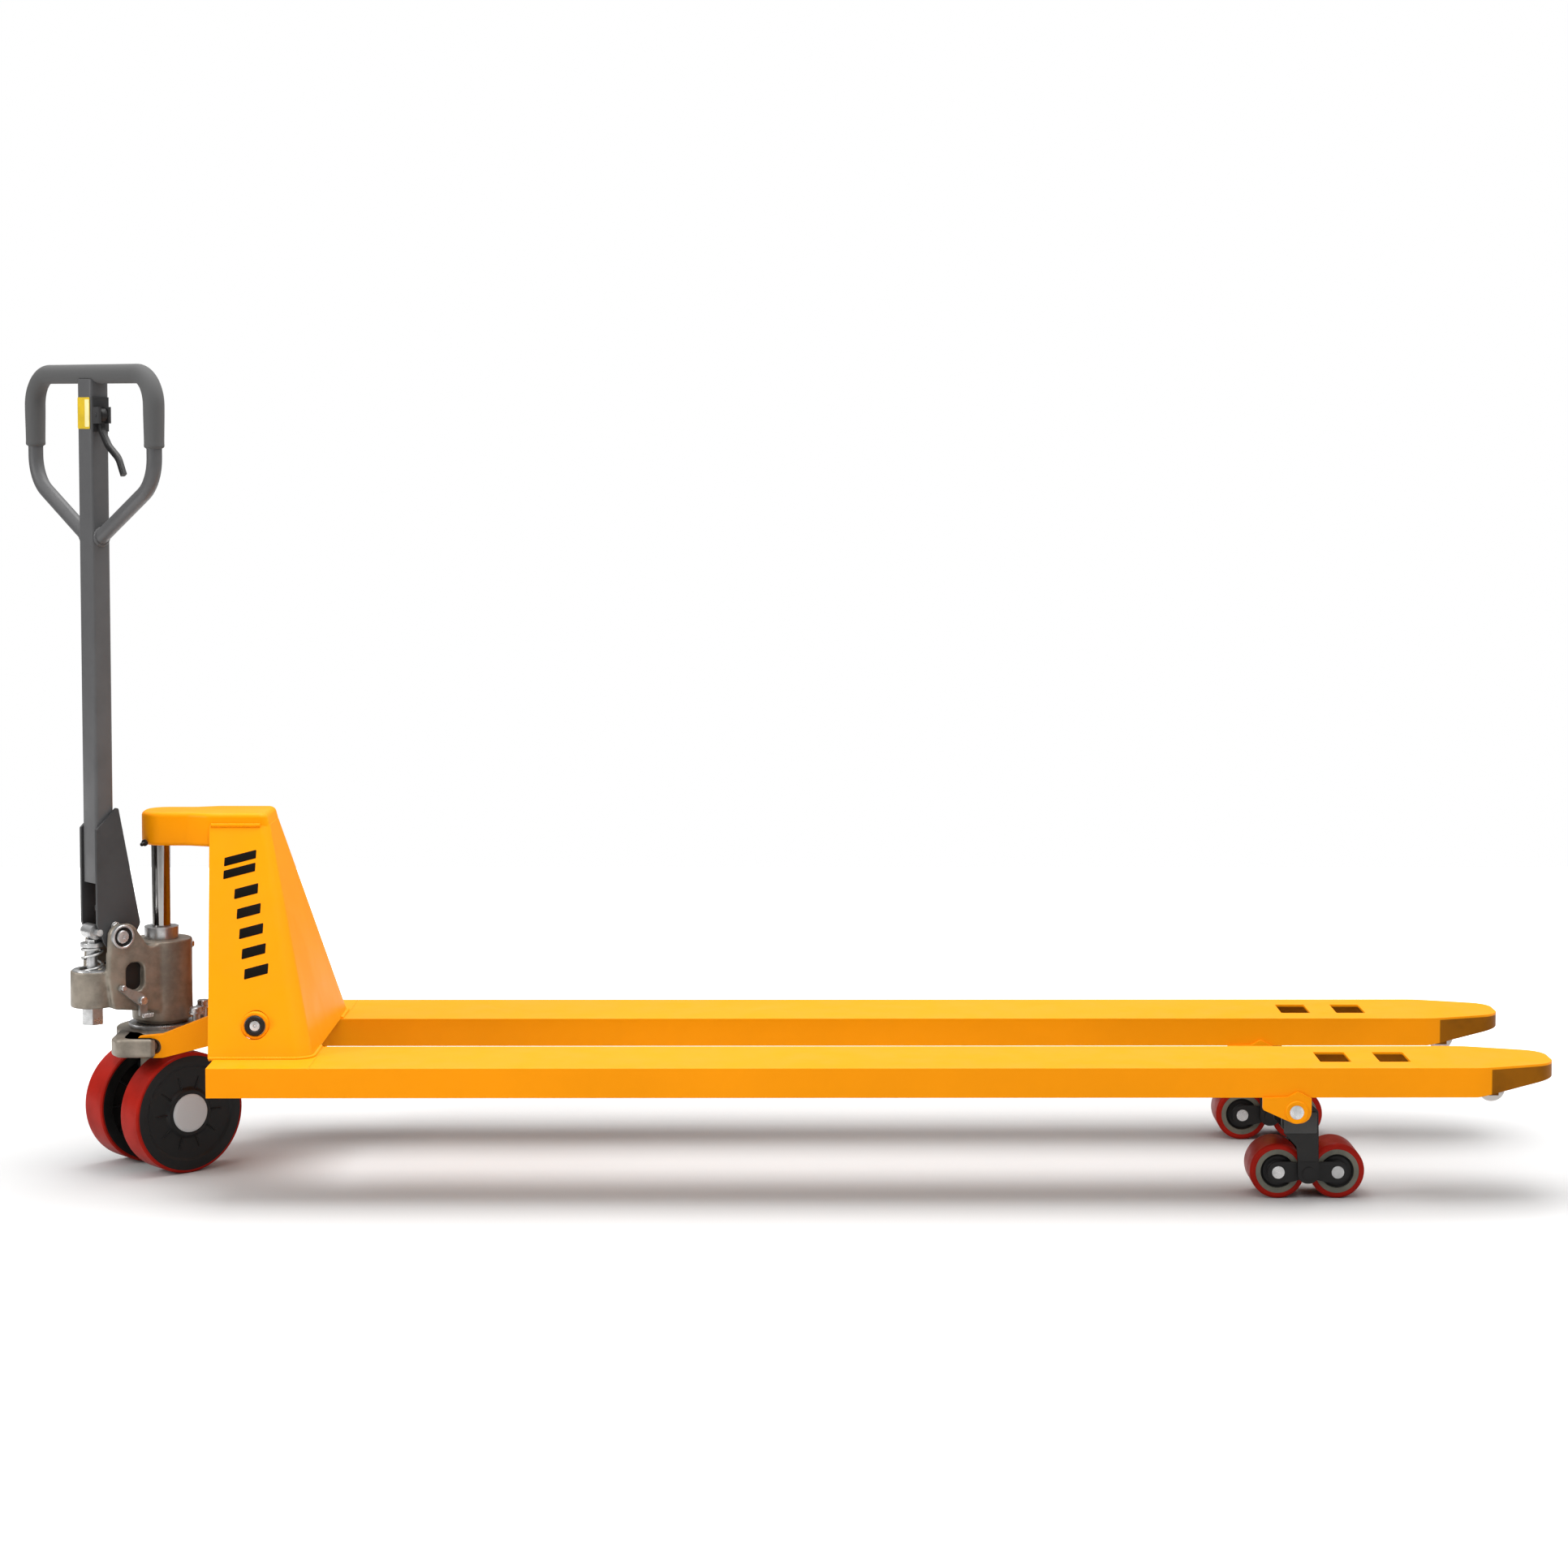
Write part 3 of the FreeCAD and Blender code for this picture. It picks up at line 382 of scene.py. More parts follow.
# Each finish: colour, shade, mottle scale, coarse and fine skin scales, share of the fine skin, bump distance
# in millimetres, wear colour, wear amount, dust amount, roughness from and to, and the shader's own constants.
SHEET_ENAMEL = ("enamel", 0.93, 3.0, 45, 700, 0.25, 0.10, (0.55, 0.22, 0.02), 0.35, 0.04, 0.34, 0.44,
                {"Specular IOR Level": 0.06})
FINISHES = {
    "yellow_enamel": SHEET_ENAMEL,
    # The fork enamel also gets painted shade inside its channels, in material().
    "fork_enamel": SHEET_ENAMEL,
    "tiller_grey": ("tiller", 0.85, 9.0, 120, 1500, 0.5, 0.05, (0.16, 0.16, 0.16), 0.25, 0.04, 0.36, 0.48, {}),
    "plate_dark": ((0.034, 0.034, 0.035), 1.4, 9.0, 120, 1500, 0.5, 0.05, (0.12, 0.12, 0.12), 0.3, 0.06, 0.34, 0.46,
                   {}),
    "black_enamel": ("black", 1.5, 12.0, 90, 900, 0.5, 0.08, (0.09, 0.085, 0.08), 0.5, 0.05, 0.36, 0.52, {}),
    # Copies of the black enamel but for colour: the near-black of the lower frame cheeks, also used as painted shade on
    # the cast recesses; and a paler grey, painted light on the upper cheeks.
    "frame_black_and_recess_shade": ((0.010, 0.0095, 0.009), 1.5, 12.0, 90, 900, 0.5, 0.08, (0.09, 0.085, 0.08), 0.5, 0.05, 0.36, 0.52,
                   {}),
    "frame_painted_light_grey": ((0.038, 0.038, 0.037), 1.5, 12.0, 90, 900, 0.5, 0.08, (0.09, 0.085, 0.08), 0.5, 0.05, 0.36, 0.52,
                   {}),
    "silver_casting": ("casting", 0.6, 26.0, 130, 520, 0.45, 0.45, (0.12, 0.1, 0.09), 0.8, 0.10, 0.36, 0.52,
                       {"Metallic": 0.35}),
    "bright_steel": ((0.55, 0.55, 0.55), 0.7, 40.0, 300, 2500, 0.5, 0.03, (0.2, 0.19, 0.18), 0.4, 0.0, 0.26, 0.40,
                     {"Metallic": 0.85}),
    "chrome": ((0.34, 0.33, 0.32), 0.9, 14.0, 30, 3000, 0.5, 0.006, (0.4, 0.4, 0.4), 0.1, 0.0, 0.12, 0.2,
               {"Metallic": 1.0}),
    "red_tread": ("tread", 0.75, 18.0, 160, 1100, 0.5, 0.10, (0.3, 0.03, 0.03), 0.5, 0.02, 0.34, 0.46,
                  {"Specular IOR Level": 0.06}),
    "roller_grey": ((0.15, 0.145, 0.115), 0.7, 30.0, 200, 1400, 0.5, 0.08, (0.2, 0.16, 0.13), 0.4, 0.1, 0.42, 0.55, {}),
    "cap_grey": ((0.205, 0.195, 0.185), 0.85, 20.0, 120, 1400, 0.5, 0.05, (0.2, 0.2, 0.2), 0.3, 0.08, 0.42, 0.52, {}),
    "grip_rubber": ("grip", 0.8, 14.0, 500, 2600, 0.6, 0.10, (0.08, 0.08, 0.08), 0.2, 0.05, 0.44, 0.56, {}),
    "roller_pale": ((0.62, 0.6, 0.55), 0.85, 24.0, 160, 1500, 0.5, 0.06, (0.3, 0.28, 0.25), 0.4, 0.1, 0.45, 0.55, {}),
    "dull_steel": ((0.30, 0.29, 0.27), 0.65, 50.0, 200, 1500, 0.5, 0.10, (0.12, 0.11, 0.10), 0.5, 0.05, 0.34, 0.48,
                   {"Metallic": 0.5}),
    "spring_steel": ((0.55, 0.54, 0.53), 0.7, 60.0, 400, 2400, 0.5, 0.03, (0.25, 0.22, 0.2), 0.4, 0.0, 0.25, 0.38,
                     {"Metallic": 1.0}),
    "label_pale": ((0.80, 0.72, 0.36), 0.9, 60.0, 80, 1800, 0.5, 0.02, (0.4, 0.35, 0.1), 0.5, 0.02, 0.34, 0.42, {}),
    "label_yellow": ((0.62, 0.42, 0.02), 0.85, 60.0, 80, 1800, 0.5, 0.02, (0.5, 0.4, 0.1), 0.3, 0.02, 0.34, 0.42, {}),
    "mark_black": ((0.004, 0.003, 0.002), 1.4, 20.0, 60, 1500, 0.4, 0.02, (0.2, 0.1, 0.02), 0.4, 0.0, 0.36, 0.44,
                   {"Specular IOR Level": 0.06}),
}


def material(name):
    """A finish: mottled colour, then handling wear, then dust, with roughness and bump from the same effects. The fork
    finish also gets painted shade inside its channels.
    """
    found = bpy.data.materials.get(name)
    if found:
        return found
    base, shade, mottle, coarse, fine, share, bump, worn, wear, dust, smooth, rough, constants = FINISHES[name]
    if isinstance(base, str):
        base = getattr(bpy.context.scene.jack_colours, base)
    base = np.array(base)
    made = bpy.data.materials.new(name)
    made.use_nodes = True
    tree = made.node_tree
    shader = tree.nodes["Principled BSDF"]
    tone = share_of(tree, "Mottled tone", Colour=(*base, 1), Shade=(*np.clip(base * shade, 0, 1), 1), Scale=mottle)
    used = share_of(tree, "Handling wear", Colour=tone["Colour"], Worn=(*worn, 1), Scale=mottle * 2 + 30, Amount=wear)
    dusty = share_of(tree, "Settled dust", Colour=used["Colour"], Amount=dust)
    # Painted shade: inside a fork's channel the enamel is darkened to a dark mottled colour, standing in for the shade
    # there.
    if name == "fork_enamel":
        painted_shade_colour = share_of(tree, "Mottled tone", Colour=(*base * 0.30, 1), Shade=(*base * 0.16, 1), Scale=9.0)
        tree.links.new(mixed(tree, channel_shade_mask(tree), dusty["Colour"], painted_shade_colour["Colour"]), shader.inputs["Base Color"])
    else:
        tree.links.new(dusty["Colour"], shader.inputs["Base Color"])
    dulled = put(tree, "ShaderNodeMath", {"operation": "ADD", "use_clamp": True}, n0=tone["Mask"], n1=used["Mask"])
    tree.links.new(ramp(tree, dulled.outputs[0], 0.0, 1.0, smooth, rough), shader.inputs["Roughness"])
    height = share_of(tree, "Sprayed skin", Coarse=float(coarse), Fine=float(fine), Share=share)["Height"]
    relief = put(tree, "ShaderNodeBump", Height=height, Strength=0.6, Distance=bump * MM)
    tree.links.new(relief.outputs[0], shader.inputs["Normal"])
    shader.inputs["Specular IOR Level"].default_value = 0.25
    for socket, value in constants.items():
        shader.inputs[socket].default_value = value
    return made


def channel_shade_mask(tree):
    """Where the painted shade goes: 1 inside a fork's channel and 0 on its outer faces, from the distance to the fork's
    middle and to its deck.
    """
    (low, high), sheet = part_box("fork_right"), 0.0035
    middle, half = -(low[1] + high[1]) / 2, (high[1] - low[1]) / 2
    where = tree.nodes.new("ShaderNodeTexCoord").outputs["Object"]
    parts = put(tree, "ShaderNodeSeparateXYZ", Vector=where).outputs
    off = put(tree, "ShaderNodeMath", {"operation": "ABSOLUTE"}, n0=parts["Y"])
    off = put(tree, "ShaderNodeMath", {"operation": "SUBTRACT"}, n0=off.outputs[0], n1=middle)
    off = put(tree, "ShaderNodeMath", {"operation": "ABSOLUTE"}, n0=off.outputs[0])
    across = ramp(tree, off.outputs[0], half - sheet, half - sheet - 0.0008)
    under = ramp(tree, parts["Z"], high[2] - 0.0028, high[2] - 0.0038)
    return put(tree, "ShaderNodeMath", {"operation": "MULTIPLY"}, n0=across, n1=under).outputs[0]


def finish_node(name, finish, edge=None, cast=None, soften=5):
    """A CAD node keeps its shape and gets its finish, with rounded edges or a casting's soft ones."""
    obj = frame["nodes"][name]
    obj.data.materials.clear()
    obj.data.materials.append(material(finish))
    weld = obj.modifiers.new("weld", "WELD")
    weld.merge_threshold = 2e-5
    if cast:
        remesh = obj.modifiers.new("skin", "REMESH")
        remesh.mode = "VOXEL"
        remesh.voxel_size = cast
        remesh.use_smooth_shade = True
        smooth = obj.modifiers.new("soften", "SMOOTH")
        smooth.iterations = soften
        smooth.factor = 0.5
        return
    if edge:
        bevel = obj.modifiers.new("edge", "BEVEL")
        bevel.limit_method = "ANGLE"
        bevel.angle_limit = math.radians(32)
        bevel.width = edge
        bevel.segments = 3
        bevel.harden_normals = False
    shade = obj.modifiers.new("shade", "WEIGHTED_NORMAL")
    shade.keep_sharp = True


# ---------------------------------------------------------------- operators
class JACK_OT_stage(bpy.types.Operator):
    """Sets the floor, the soft lights and the camera"""

    bl_idname = "jack.stage"
    bl_label = "Stage"

    def execute(self, context):
        scene = context.scene
        low, high = CAD_BOX
        side = 3.2
        floor_mesh = bpy.data.meshes.new("floor")
        floor_mesh.from_pydata([(-side, -side, low[2]), (side, -side, low[2]), (side, side, low[2]),
                                (-side, side, low[2])], [], [(0, 1, 2, 3)])
        floor = bpy.data.objects.new("floor", floor_mesh)
        scene.collection.objects.link(floor)
        paper = bpy.data.materials.new("floor_paper")
        paper.use_nodes = True
        tree = paper.node_tree
        where = tree.nodes.new("ShaderNodeTexCoord").outputs["Object"]
        cloud = put(tree, "ShaderNodeTexNoise", Vector=where, Scale=3.0, Detail=3.0).outputs["Fac"]
        grain = mixed(tree, cloud, (0.52, 0.52, 0.52, 1), (0.54, 0.54, 0.54, 1))
        # Painted light: the floor is paler away from the truck and glows there for the camera alone, so it fades into
        # the white background.
        flat = put(tree, "ShaderNodeMapping", Vector=where, Scale=(0.5, 1.0, 1.0))
        reach = put(tree, "ShaderNodeVectorMath", {"operation": "LENGTH"}, n0=flat.outputs[0]).outputs["Value"]
        floor_grain_and_painted_fade = mixed(tree, ramp(tree, reach, 0.5, 1.2), grain, (0.8, 0.8, 0.8, 1))
        tree.links.new(floor_grain_and_painted_fade, tree.nodes["Principled BSDF"].inputs["Base Color"])
        tree.links.new(floor_grain_and_painted_fade, tree.nodes["Principled BSDF"].inputs["Emission Color"])
        glow = put(tree, "ShaderNodeMath", {"operation": "MULTIPLY"}, n0=ramp(tree, reach, 0.6, 1.3, 0.0, 0.7),
                   n1=tree.nodes.new("ShaderNodeLightPath").outputs["Is Camera Ray"]).outputs[0]
        tree.links.new(glow, tree.nodes["Principled BSDF"].inputs["Emission Strength"])
        tree.nodes["Principled BSDF"].inputs["Roughness"].default_value = 0.9
        tree.nodes["Principled BSDF"].inputs["Specular IOR Level"].default_value = 0.1
        floor_mesh.materials.append(paper)

        world = bpy.data.worlds.new("studio")
        scene.world = world
        world.use_nodes = True
        sky = world.node_tree
        way = put(sky, "ShaderNodeSeparateXYZ", Vector=sky.nodes.new("ShaderNodeTexCoord").outputs["Generated"])
        side_glow = ramp(sky, way.outputs["X"], 0.1, 0.9, 0.15, 0.48)
        overhead_glow = ramp(sky, way.outputs["Z"], 0.12, 1.0, 0.0, 1.5)
        soft = put(sky, "ShaderNodeMath", {"operation": "ADD"}, n0=side_glow, n1=overhead_glow).outputs[0]
        seen = put(sky, "ShaderNodeMix", {"data_type": "FLOAT"},
                   n0=sky.nodes.new("ShaderNodeLightPath").outputs["Is Camera Ray"], n2=soft, n3=1.0)
        sky.links.new(seen.outputs[0], sky.nodes["Background"].inputs["Strength"])
        sky.nodes["Background"].inputs["Color"].default_value = (1.0, 1.0, 1.0, 1)
        for name, place, aim, size, power in (
                ("key", (-4.2, -1.8, 2.2), (-0.7, 0, 0.4), 1.6, 90.0),
                ("fill", (1.6, -4.2, 2.6), (0.3, 0, 0.2), 2.6, 3.0),
                ("overhead", (0.2, 0.1, 3.4), (0.2, 0, 0.2), 3.0, 125.0)):
            lamp = bpy.data.lights.new(name, "AREA")
            lamp.size = size
            lamp.energy = power
            lamp_object = bpy.data.objects.new(name, lamp)
            scene.collection.objects.link(lamp_object)
            lamp_object.location = place
            lamp_object.rotation_euler = (Vector(aim) - Vector(place)).to_track_quat("-Z", "Y").to_euler()

        yaw, pitch, roll = 0.0124, -0.0662, 0.0019
        ahead = np.array([math.sin(yaw) * math.cos(pitch), math.cos(yaw) * math.cos(pitch), math.sin(pitch)])
        right = np.array([math.cos(yaw), -math.sin(yaw), 0.0])
        up = np.cross(right, ahead)
        right, up = (right * math.cos(roll) + up * math.sin(roll), up * math.cos(roll) - right * math.sin(roll))
        lens = bpy.data.cameras.new("camera")
        lens.sensor_width = 36.0
        lens.lens = 76.47
        lens.shift_x, lens.shift_y = -0.0323, -0.1027
        lens.clip_end = 100
        camera = bpy.data.objects.new("camera", lens)
        scene.collection.objects.link(camera)
        camera.matrix_world = Matrix([(*row, place) for row, place in
                                      zip(np.stack([right, up, -ahead], 1).tolist(), (0.028, -4.966, 1.147))]
                                     + [(0, 0, 0, 1)])
        scene.camera = camera
        scene.view_settings.view_transform = "Standard"
        return {"FINISHED"}


class JACK_OT_carried_parts(bpy.types.Operator):
    """Gives every part that keeps its CAD shape its edges and its finish"""

    bl_idname = "jack.carried_parts"
    bl_label = "Frame parts"

    def execute(self, context):
        sizes = context.scene.jack_sizes
        sheet, fine, grain = sizes.sheet_edge, sizes.machined_edge, sizes.casting_grain
        plain = {
            "fork_enamel": (sheet, ["fork_left", "fork_right"]),
            "yellow_enamel": (sheet, ["bulkhead", "pivot_ears", "rocker_arms",
                                      "push_rod_left", "push_rod_right", "shaft_bushes"]),
            "plate_dark": (sheet, ["handle_base", "control_rod", "lever_bracket"]),
            "black_enamel": (sheet, ["wheel_frame_left", "wheel_frame_right", "bogie_links_left",
                                     "bogie_links_right", "frame_pins_left", "frame_pins_right"]),
            "bright_steel": (fine, ["rocker_pins", "thrust_bearing", "gland_nut", "pump_plugs", "steer_axle",
                                    "axle_clips", "handle_pivot_pin", "press_roller", "plunger_rod",
                                    "plunger_cap", "load_pivot_pins", "entry_roller_pins", "rocker_shaft", "lug_pins",
                                    "roller_axles_left", "roller_axles_right"]),
            "dull_steel": (fine, ["release_lever"]),
            "chrome": (fine, ["ram_rod"]),
            "roller_pale": (sheet, ["entry_roller_left", "entry_roller_right"]),
        }
        for finish, (edge, names) in plain.items():
            for name in names:
                finish_node(name, finish, edge)
        for name in ("pump_body", "thrust_plate"):
            finish_node(name, "silver_casting", cast=grain)
        return {"FINISHED"}


class JACK_OT_handle(bpy.types.Operator):
    """Builds the tiller tube, the loop, the grip, the control lever and the plate on the tiller"""

    bl_idname = "jack.handle"
    bl_label = "Handle"

    def execute(self, context):
        x = TILLER_X
        wall = [(15, 20), (-15, 20), (-15, -20), (15, -20)]
        outer, inner = eased(wall, 5, 7), eased([(12, 17), (-12, 17), (-12, -17), (12, -17)], 3, 7)
        rows = [(outer * 0.985, 438.0), (outer, 438.6), (outer, 1177.0), (inner, 1177.0), (inner, 438.0)]
        tube = np.stack([np.concatenate([profile + (x, 0), np.full((len(profile), 1), z)], 1) for profile, z in rows])
        lid = slab(outer * 0.97 + (x, 0), 1175.4, 1178.4, 1.2)
        piece("tiller", [skin(turned(tube), ring=True), skin(turned(lid))], "tiller_grey", "handle",
              ["tiller_tube"])

        ring = [(16, 946), (LOOP_HALF, 1030), (LOOP_HALF, LOOP_TOP), (-LOOP_HALF, LOOP_TOP), (-LOOP_HALF, 1030),
                (-16, 946)]
        flat = eased(ring, [0, 60, 46, 46, 60, 0], 17, closed=False)
        path = np.stack([np.full(len(flat), x), flat[:, 0], flat[:, 1]], -1)
        feet = [weld_bead(np.stack([x + 10.5 * np.cos(t), sign * 21.5 + 0 * t, 948.5 + 12 * np.sin(t)], -1),
                          (0.0, 0.3, 1.0), turned)
                for sign in (1, -1) for t in [np.linspace(0.2, 2 * math.pi - 0.2, 60)]]
        hoop = skin(carried(circle(0.011, 32), turned(path), turned([1, 0, 0]) - STEER_AXIS))
        piece("loop", [hoop, *feet], "tiller_grey", "handle", ["handle_loop"])

        ring = [(LOOP_HALF, 1079), (LOOP_HALF, LOOP_TOP), (-LOOP_HALF, LOOP_TOP), (-LOOP_HALF, 1079)]
        flat = eased(ring, [0, 46, 46, 0], 25, closed=False)
        run = np.concatenate([[0], np.cumsum(np.linalg.norm(np.diff(flat, axis=0), axis=1))])
        t = np.linspace(0, run[-1], 240)
        flat = np.stack([np.interp(t, run, flat[:, axis]) for axis in range(2)], -1)
        path = np.stack([np.full(len(flat), x), flat[:, 0], flat[:, 1]], -1)
        end = np.minimum(t, run[-1] - t)
        swell = 14.1 + 0.6 * np.exp(-(end / 5.0) ** 2) + 1.1 * np.exp(-((end - 62) / 42) ** 2)
        swell[[0, -1]] = 11.4
        swell[[1, -2]] = 14.2
        sleeve = skin(carried(circle(MM, 36), turned(path), turned([1, 0, 0]) - STEER_AXIS, swell))
        piece("grip", [sleeve], "grip_rubber", "handle", ["handle_grip"], crease=50)

        line = eased([(-30, 1127), (-30, 1104), (-50, 1081), (-78, 1064), (-92, 1040)], [0, 16, 30, 30, 0], 9,
                     closed=False)
        path = np.stack([np.full(len(line), LEVER_X), line[:, 0], line[:, 1]], -1)
        t = np.linspace(0, 1, len(path))
        blade = eased([(4.8, 4.5), (-4.8, 4.5), (-4.8, -4.5), (4.8, -4.5)], 2.2, 5) * MM
        arm = carried(blade, turned(path), turned([1, 0, 0]) - STEER_AXIS, 1.0 - 0.1 * t)
        hub = [(0, -5), (9.5, -5), (10, -4.4), (10, 4.4), (9.5, 5), (0, 5)]
        lever_pin = turned([LEVER_X, LEVER_Y, LEVER_Z])
        lever_hub = revolved(np.array(hub) * MM, lever_pin, turned([1, 0, 0]) - STEER_AXIS, 48)
        piece("squeeze_lever", [skin(arm), skin(lever_hub, ends=False)], "black_enamel", "control_lever",
              ["control_lever"])

        for name, y0, y1, z0, z1, finish in (("tiller_plate", -17.5, 17.5, 1106, 1152, "label_yellow"),
                                             ("tiller_plate_band", -16, -4, 1109, 1149, "label_pale")):
            lift = 0.3 if finish == "label_pale" else 0.0
            plate = slab(eased([(y0, z0), (y1, z0), (y1, z1), (y0, z1)], 1.6, 5), lift, lift + 0.5, 0.2)
            plate = np.stack([-119.0 - plate[..., 2], plate[..., 0], plate[..., 1]], -1)
            piece(name, [skin(turned(plate))], finish, "handle")
        return {"FINISHED"}


class JACK_OT_head(bpy.types.Operator):
    """Builds the head beam, rounded at the nose and sloped at the back with the hood"""

    bl_idname = "jack.head"
    bl_label = "Head"

    def execute(self, context):
        low, high = 487.0, 537.0
        plan = eased([(-26, -40), (48, -40), (80, -52), (176, -52), (176, 52), (80, 52), (48, 40), (-26, 40)],
                     [34, 20, 20, 12, 12, 20, 20, 34], 12)
        beam = slab(plan, low, high, 7.0, 8)
        slope = (252.0 - 170.0) / HOOD_RISE
        rear = np.clip((beam[..., 0] - 120) / 40, 0, 1)
        shift = rear * (170.0 - 176.0 - 0.4 + slope * (520.0 - beam[..., 2]))
        beam[..., 0] += shift
        piece("head_beam", [skin(in_line(beam))], "yellow_enamel", "chassis", ["head"])
        return {"FINISHED"}


class JACK_OT_steering_wheels(bpy.types.Operator):
    """Builds the treads, ribbed cores and caps of the two steering wheels"""

    bl_idname = "jack.steering_wheels"
    bl_label = "Steering wheels"

    def execute(self, context):
        shoulder = context.scene.jack_sizes.tread_shoulder / MM
        for side, sign in SIDES:
            hub = turned([0, WHEEL_OFFSET * sign, WHEEL_RADIUS])
            out = turned([0, sign, 0]) - STEER_AXIS
            section = eased([(85.4, -24.6), (88, -24.6), (90, -22), (90, 22), (88, 24.6), (85.4, 24.6)],
                            [0.5, 1, shoulder / 3, shoulder / 3, 1, 0.5], 7) * MM
            piece("tread_" + side, [skin(revolved(section, hub, out, 144), ring=True)], "red_tread",
                  "steer_wheel_" + side, ["steer_tread_" + side], crease=60)
            section = eased([(11, -24), (30, -24), (34, -14), (66, -12), (70, -24.2), (85.6, -24.6), (85.6, 24.6),
                             (72, 24.2), (68, 21), (38, 19.5), (34, 24), (11, 24)],
                            [0.5, 2, 3, 3, 1.5, 0.5, 0.5, 1.5, 3, 3, 2, 0.5], 5) * MM
            skins = [skin(revolved(section, hub, out, 144), ring=True)]
            for angle in np.arange(10) * math.pi / 5:
                c, s = math.cos(angle), math.sin(angle)
                for low, high, top in ((31.0, 56.0, 21.4), (31.0, 68.0, -18.0)):
                    rib = slab(eased([(low, -1.6), (high, -1.2), (high, 1.2), (low, 1.6)], 0.5, 3), min(0, top),
                               max(0, top), 1.0)
                    across, along = rib[..., 0] * c - rib[..., 1] * s, rib[..., 0] * s + rib[..., 1] * c
                    deep = rib[..., 2]
                    spoke = np.stack([across, sign * (WHEEL_OFFSET + deep), along + WHEEL_RADIUS], -1)
                    skins.append(skin(turned(spoke)))
            piece("core_" + side, skins, "black_enamel", "steer_wheel_" + side,
                  ["steer_core_" + side])
            section = eased([(0, 20), (27.5, 20), (29, 26.0), (24, 27.3), (0, 27.5)], [0, 0, 2, 1, 0], 6,
                            closed=False) * MM
            piece("cap_" + side, [skin(revolved(section, hub, out, 96), ends=False)], "cap_grey",
                  "steer_wheel_" + side, ["hub_cap_" + side])
        return {"FINISHED"}


class JACK_OT_load_rollers(bpy.types.Operator):
    """Builds the four load rollers with their treads, rings and bearings"""

    bl_idname = "jack.load_rollers"
    bl_label = "Load rollers"

    def execute(self, context):
        for side, sign in SIDES:
            for place in ("rear", "front"):
                name = "%s_%s" % (side, place)
                low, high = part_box("roller_tread_" + name)
                hub = (np.array(low) + np.array(high)) / 2
                body = "load_roller_" + name
                section = eased([(31.8, -35), (40, -35), (40, 35), (31.8, 35)], [0.5, 5, 5, 0.5], 9) * MM
                piece("roller_tyre_" + name, [skin(revolved(section, hub, (0, 1, 0), 96), ring=True)], "red_tread",
                      body, ["roller_tread_" + name], crease=60)
                section = eased([(24.5, -34.2), (32, -34.6), (32, 34.6), (24.5, 34.2), (24, 30), (24, -30)],
                                [0.5, 0.5, 0.5, 0.5, 0.5, 0.5], 4) * MM
                piece("roller_ring_" + name, [skin(revolved(section, hub, (0, 1, 0), 96), ring=True)], "roller_grey",
                      body, ["roller_core_" + name])
                section = eased([(9.2, -33), (12, -33), (15, -30.5), (21, -30.5), (24.2, -33), (24.2, 33), (21, 30.5),
                                 (15, 30.5), (12, 33), (9.2, 33)], 0.6, 4) * MM
                piece("roller_bearing_" + name, [skin(revolved(section, hub, (0, 1, 0), 96), ring=True)],
                      "black_enamel", body)
        return {"FINISHED"}


class JACK_OT_pump_spring(bpy.types.Operator):
    """Winds the return spring of the pump at one length, the CAD spring's; the real spring shortens as the handle goes
    down
    """

    bl_idname = "jack.pump_spring"
    bl_label = "Pump spring"

    def execute(self, context):
        wire = context.scene.jack_sizes.spring_wire
        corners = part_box("pump_spring")
        low, high = corners[0][2] / MM + 2.2, corners[1][2] / MM - 2.2
        coils, closed = 3.0, 0.9
        t = np.linspace(0, 1, 760)
        angle = 2 * math.pi * (coils + 2 * closed) * t
        share = closed / (coils + 2 * closed)
        rise = np.interp(t, [0, share, 1 - share, 1], [0, 0.07, 0.93, 1])
        radius = 14.4
        path = turned(np.stack([PLUNGER_X + radius * np.cos(angle), radius * np.sin(angle),
                                low + (high - low) * rise], -1))
        coil = skin(carried(circle(wire, 12), path, (0.0, 0.0, 1.0)))
        spring = piece("return_spring", [coil], "spring_steel", "steering_unit", ["pump_spring"],
                       crease=60)
        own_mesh(spring)
        return {"FINISHED"}


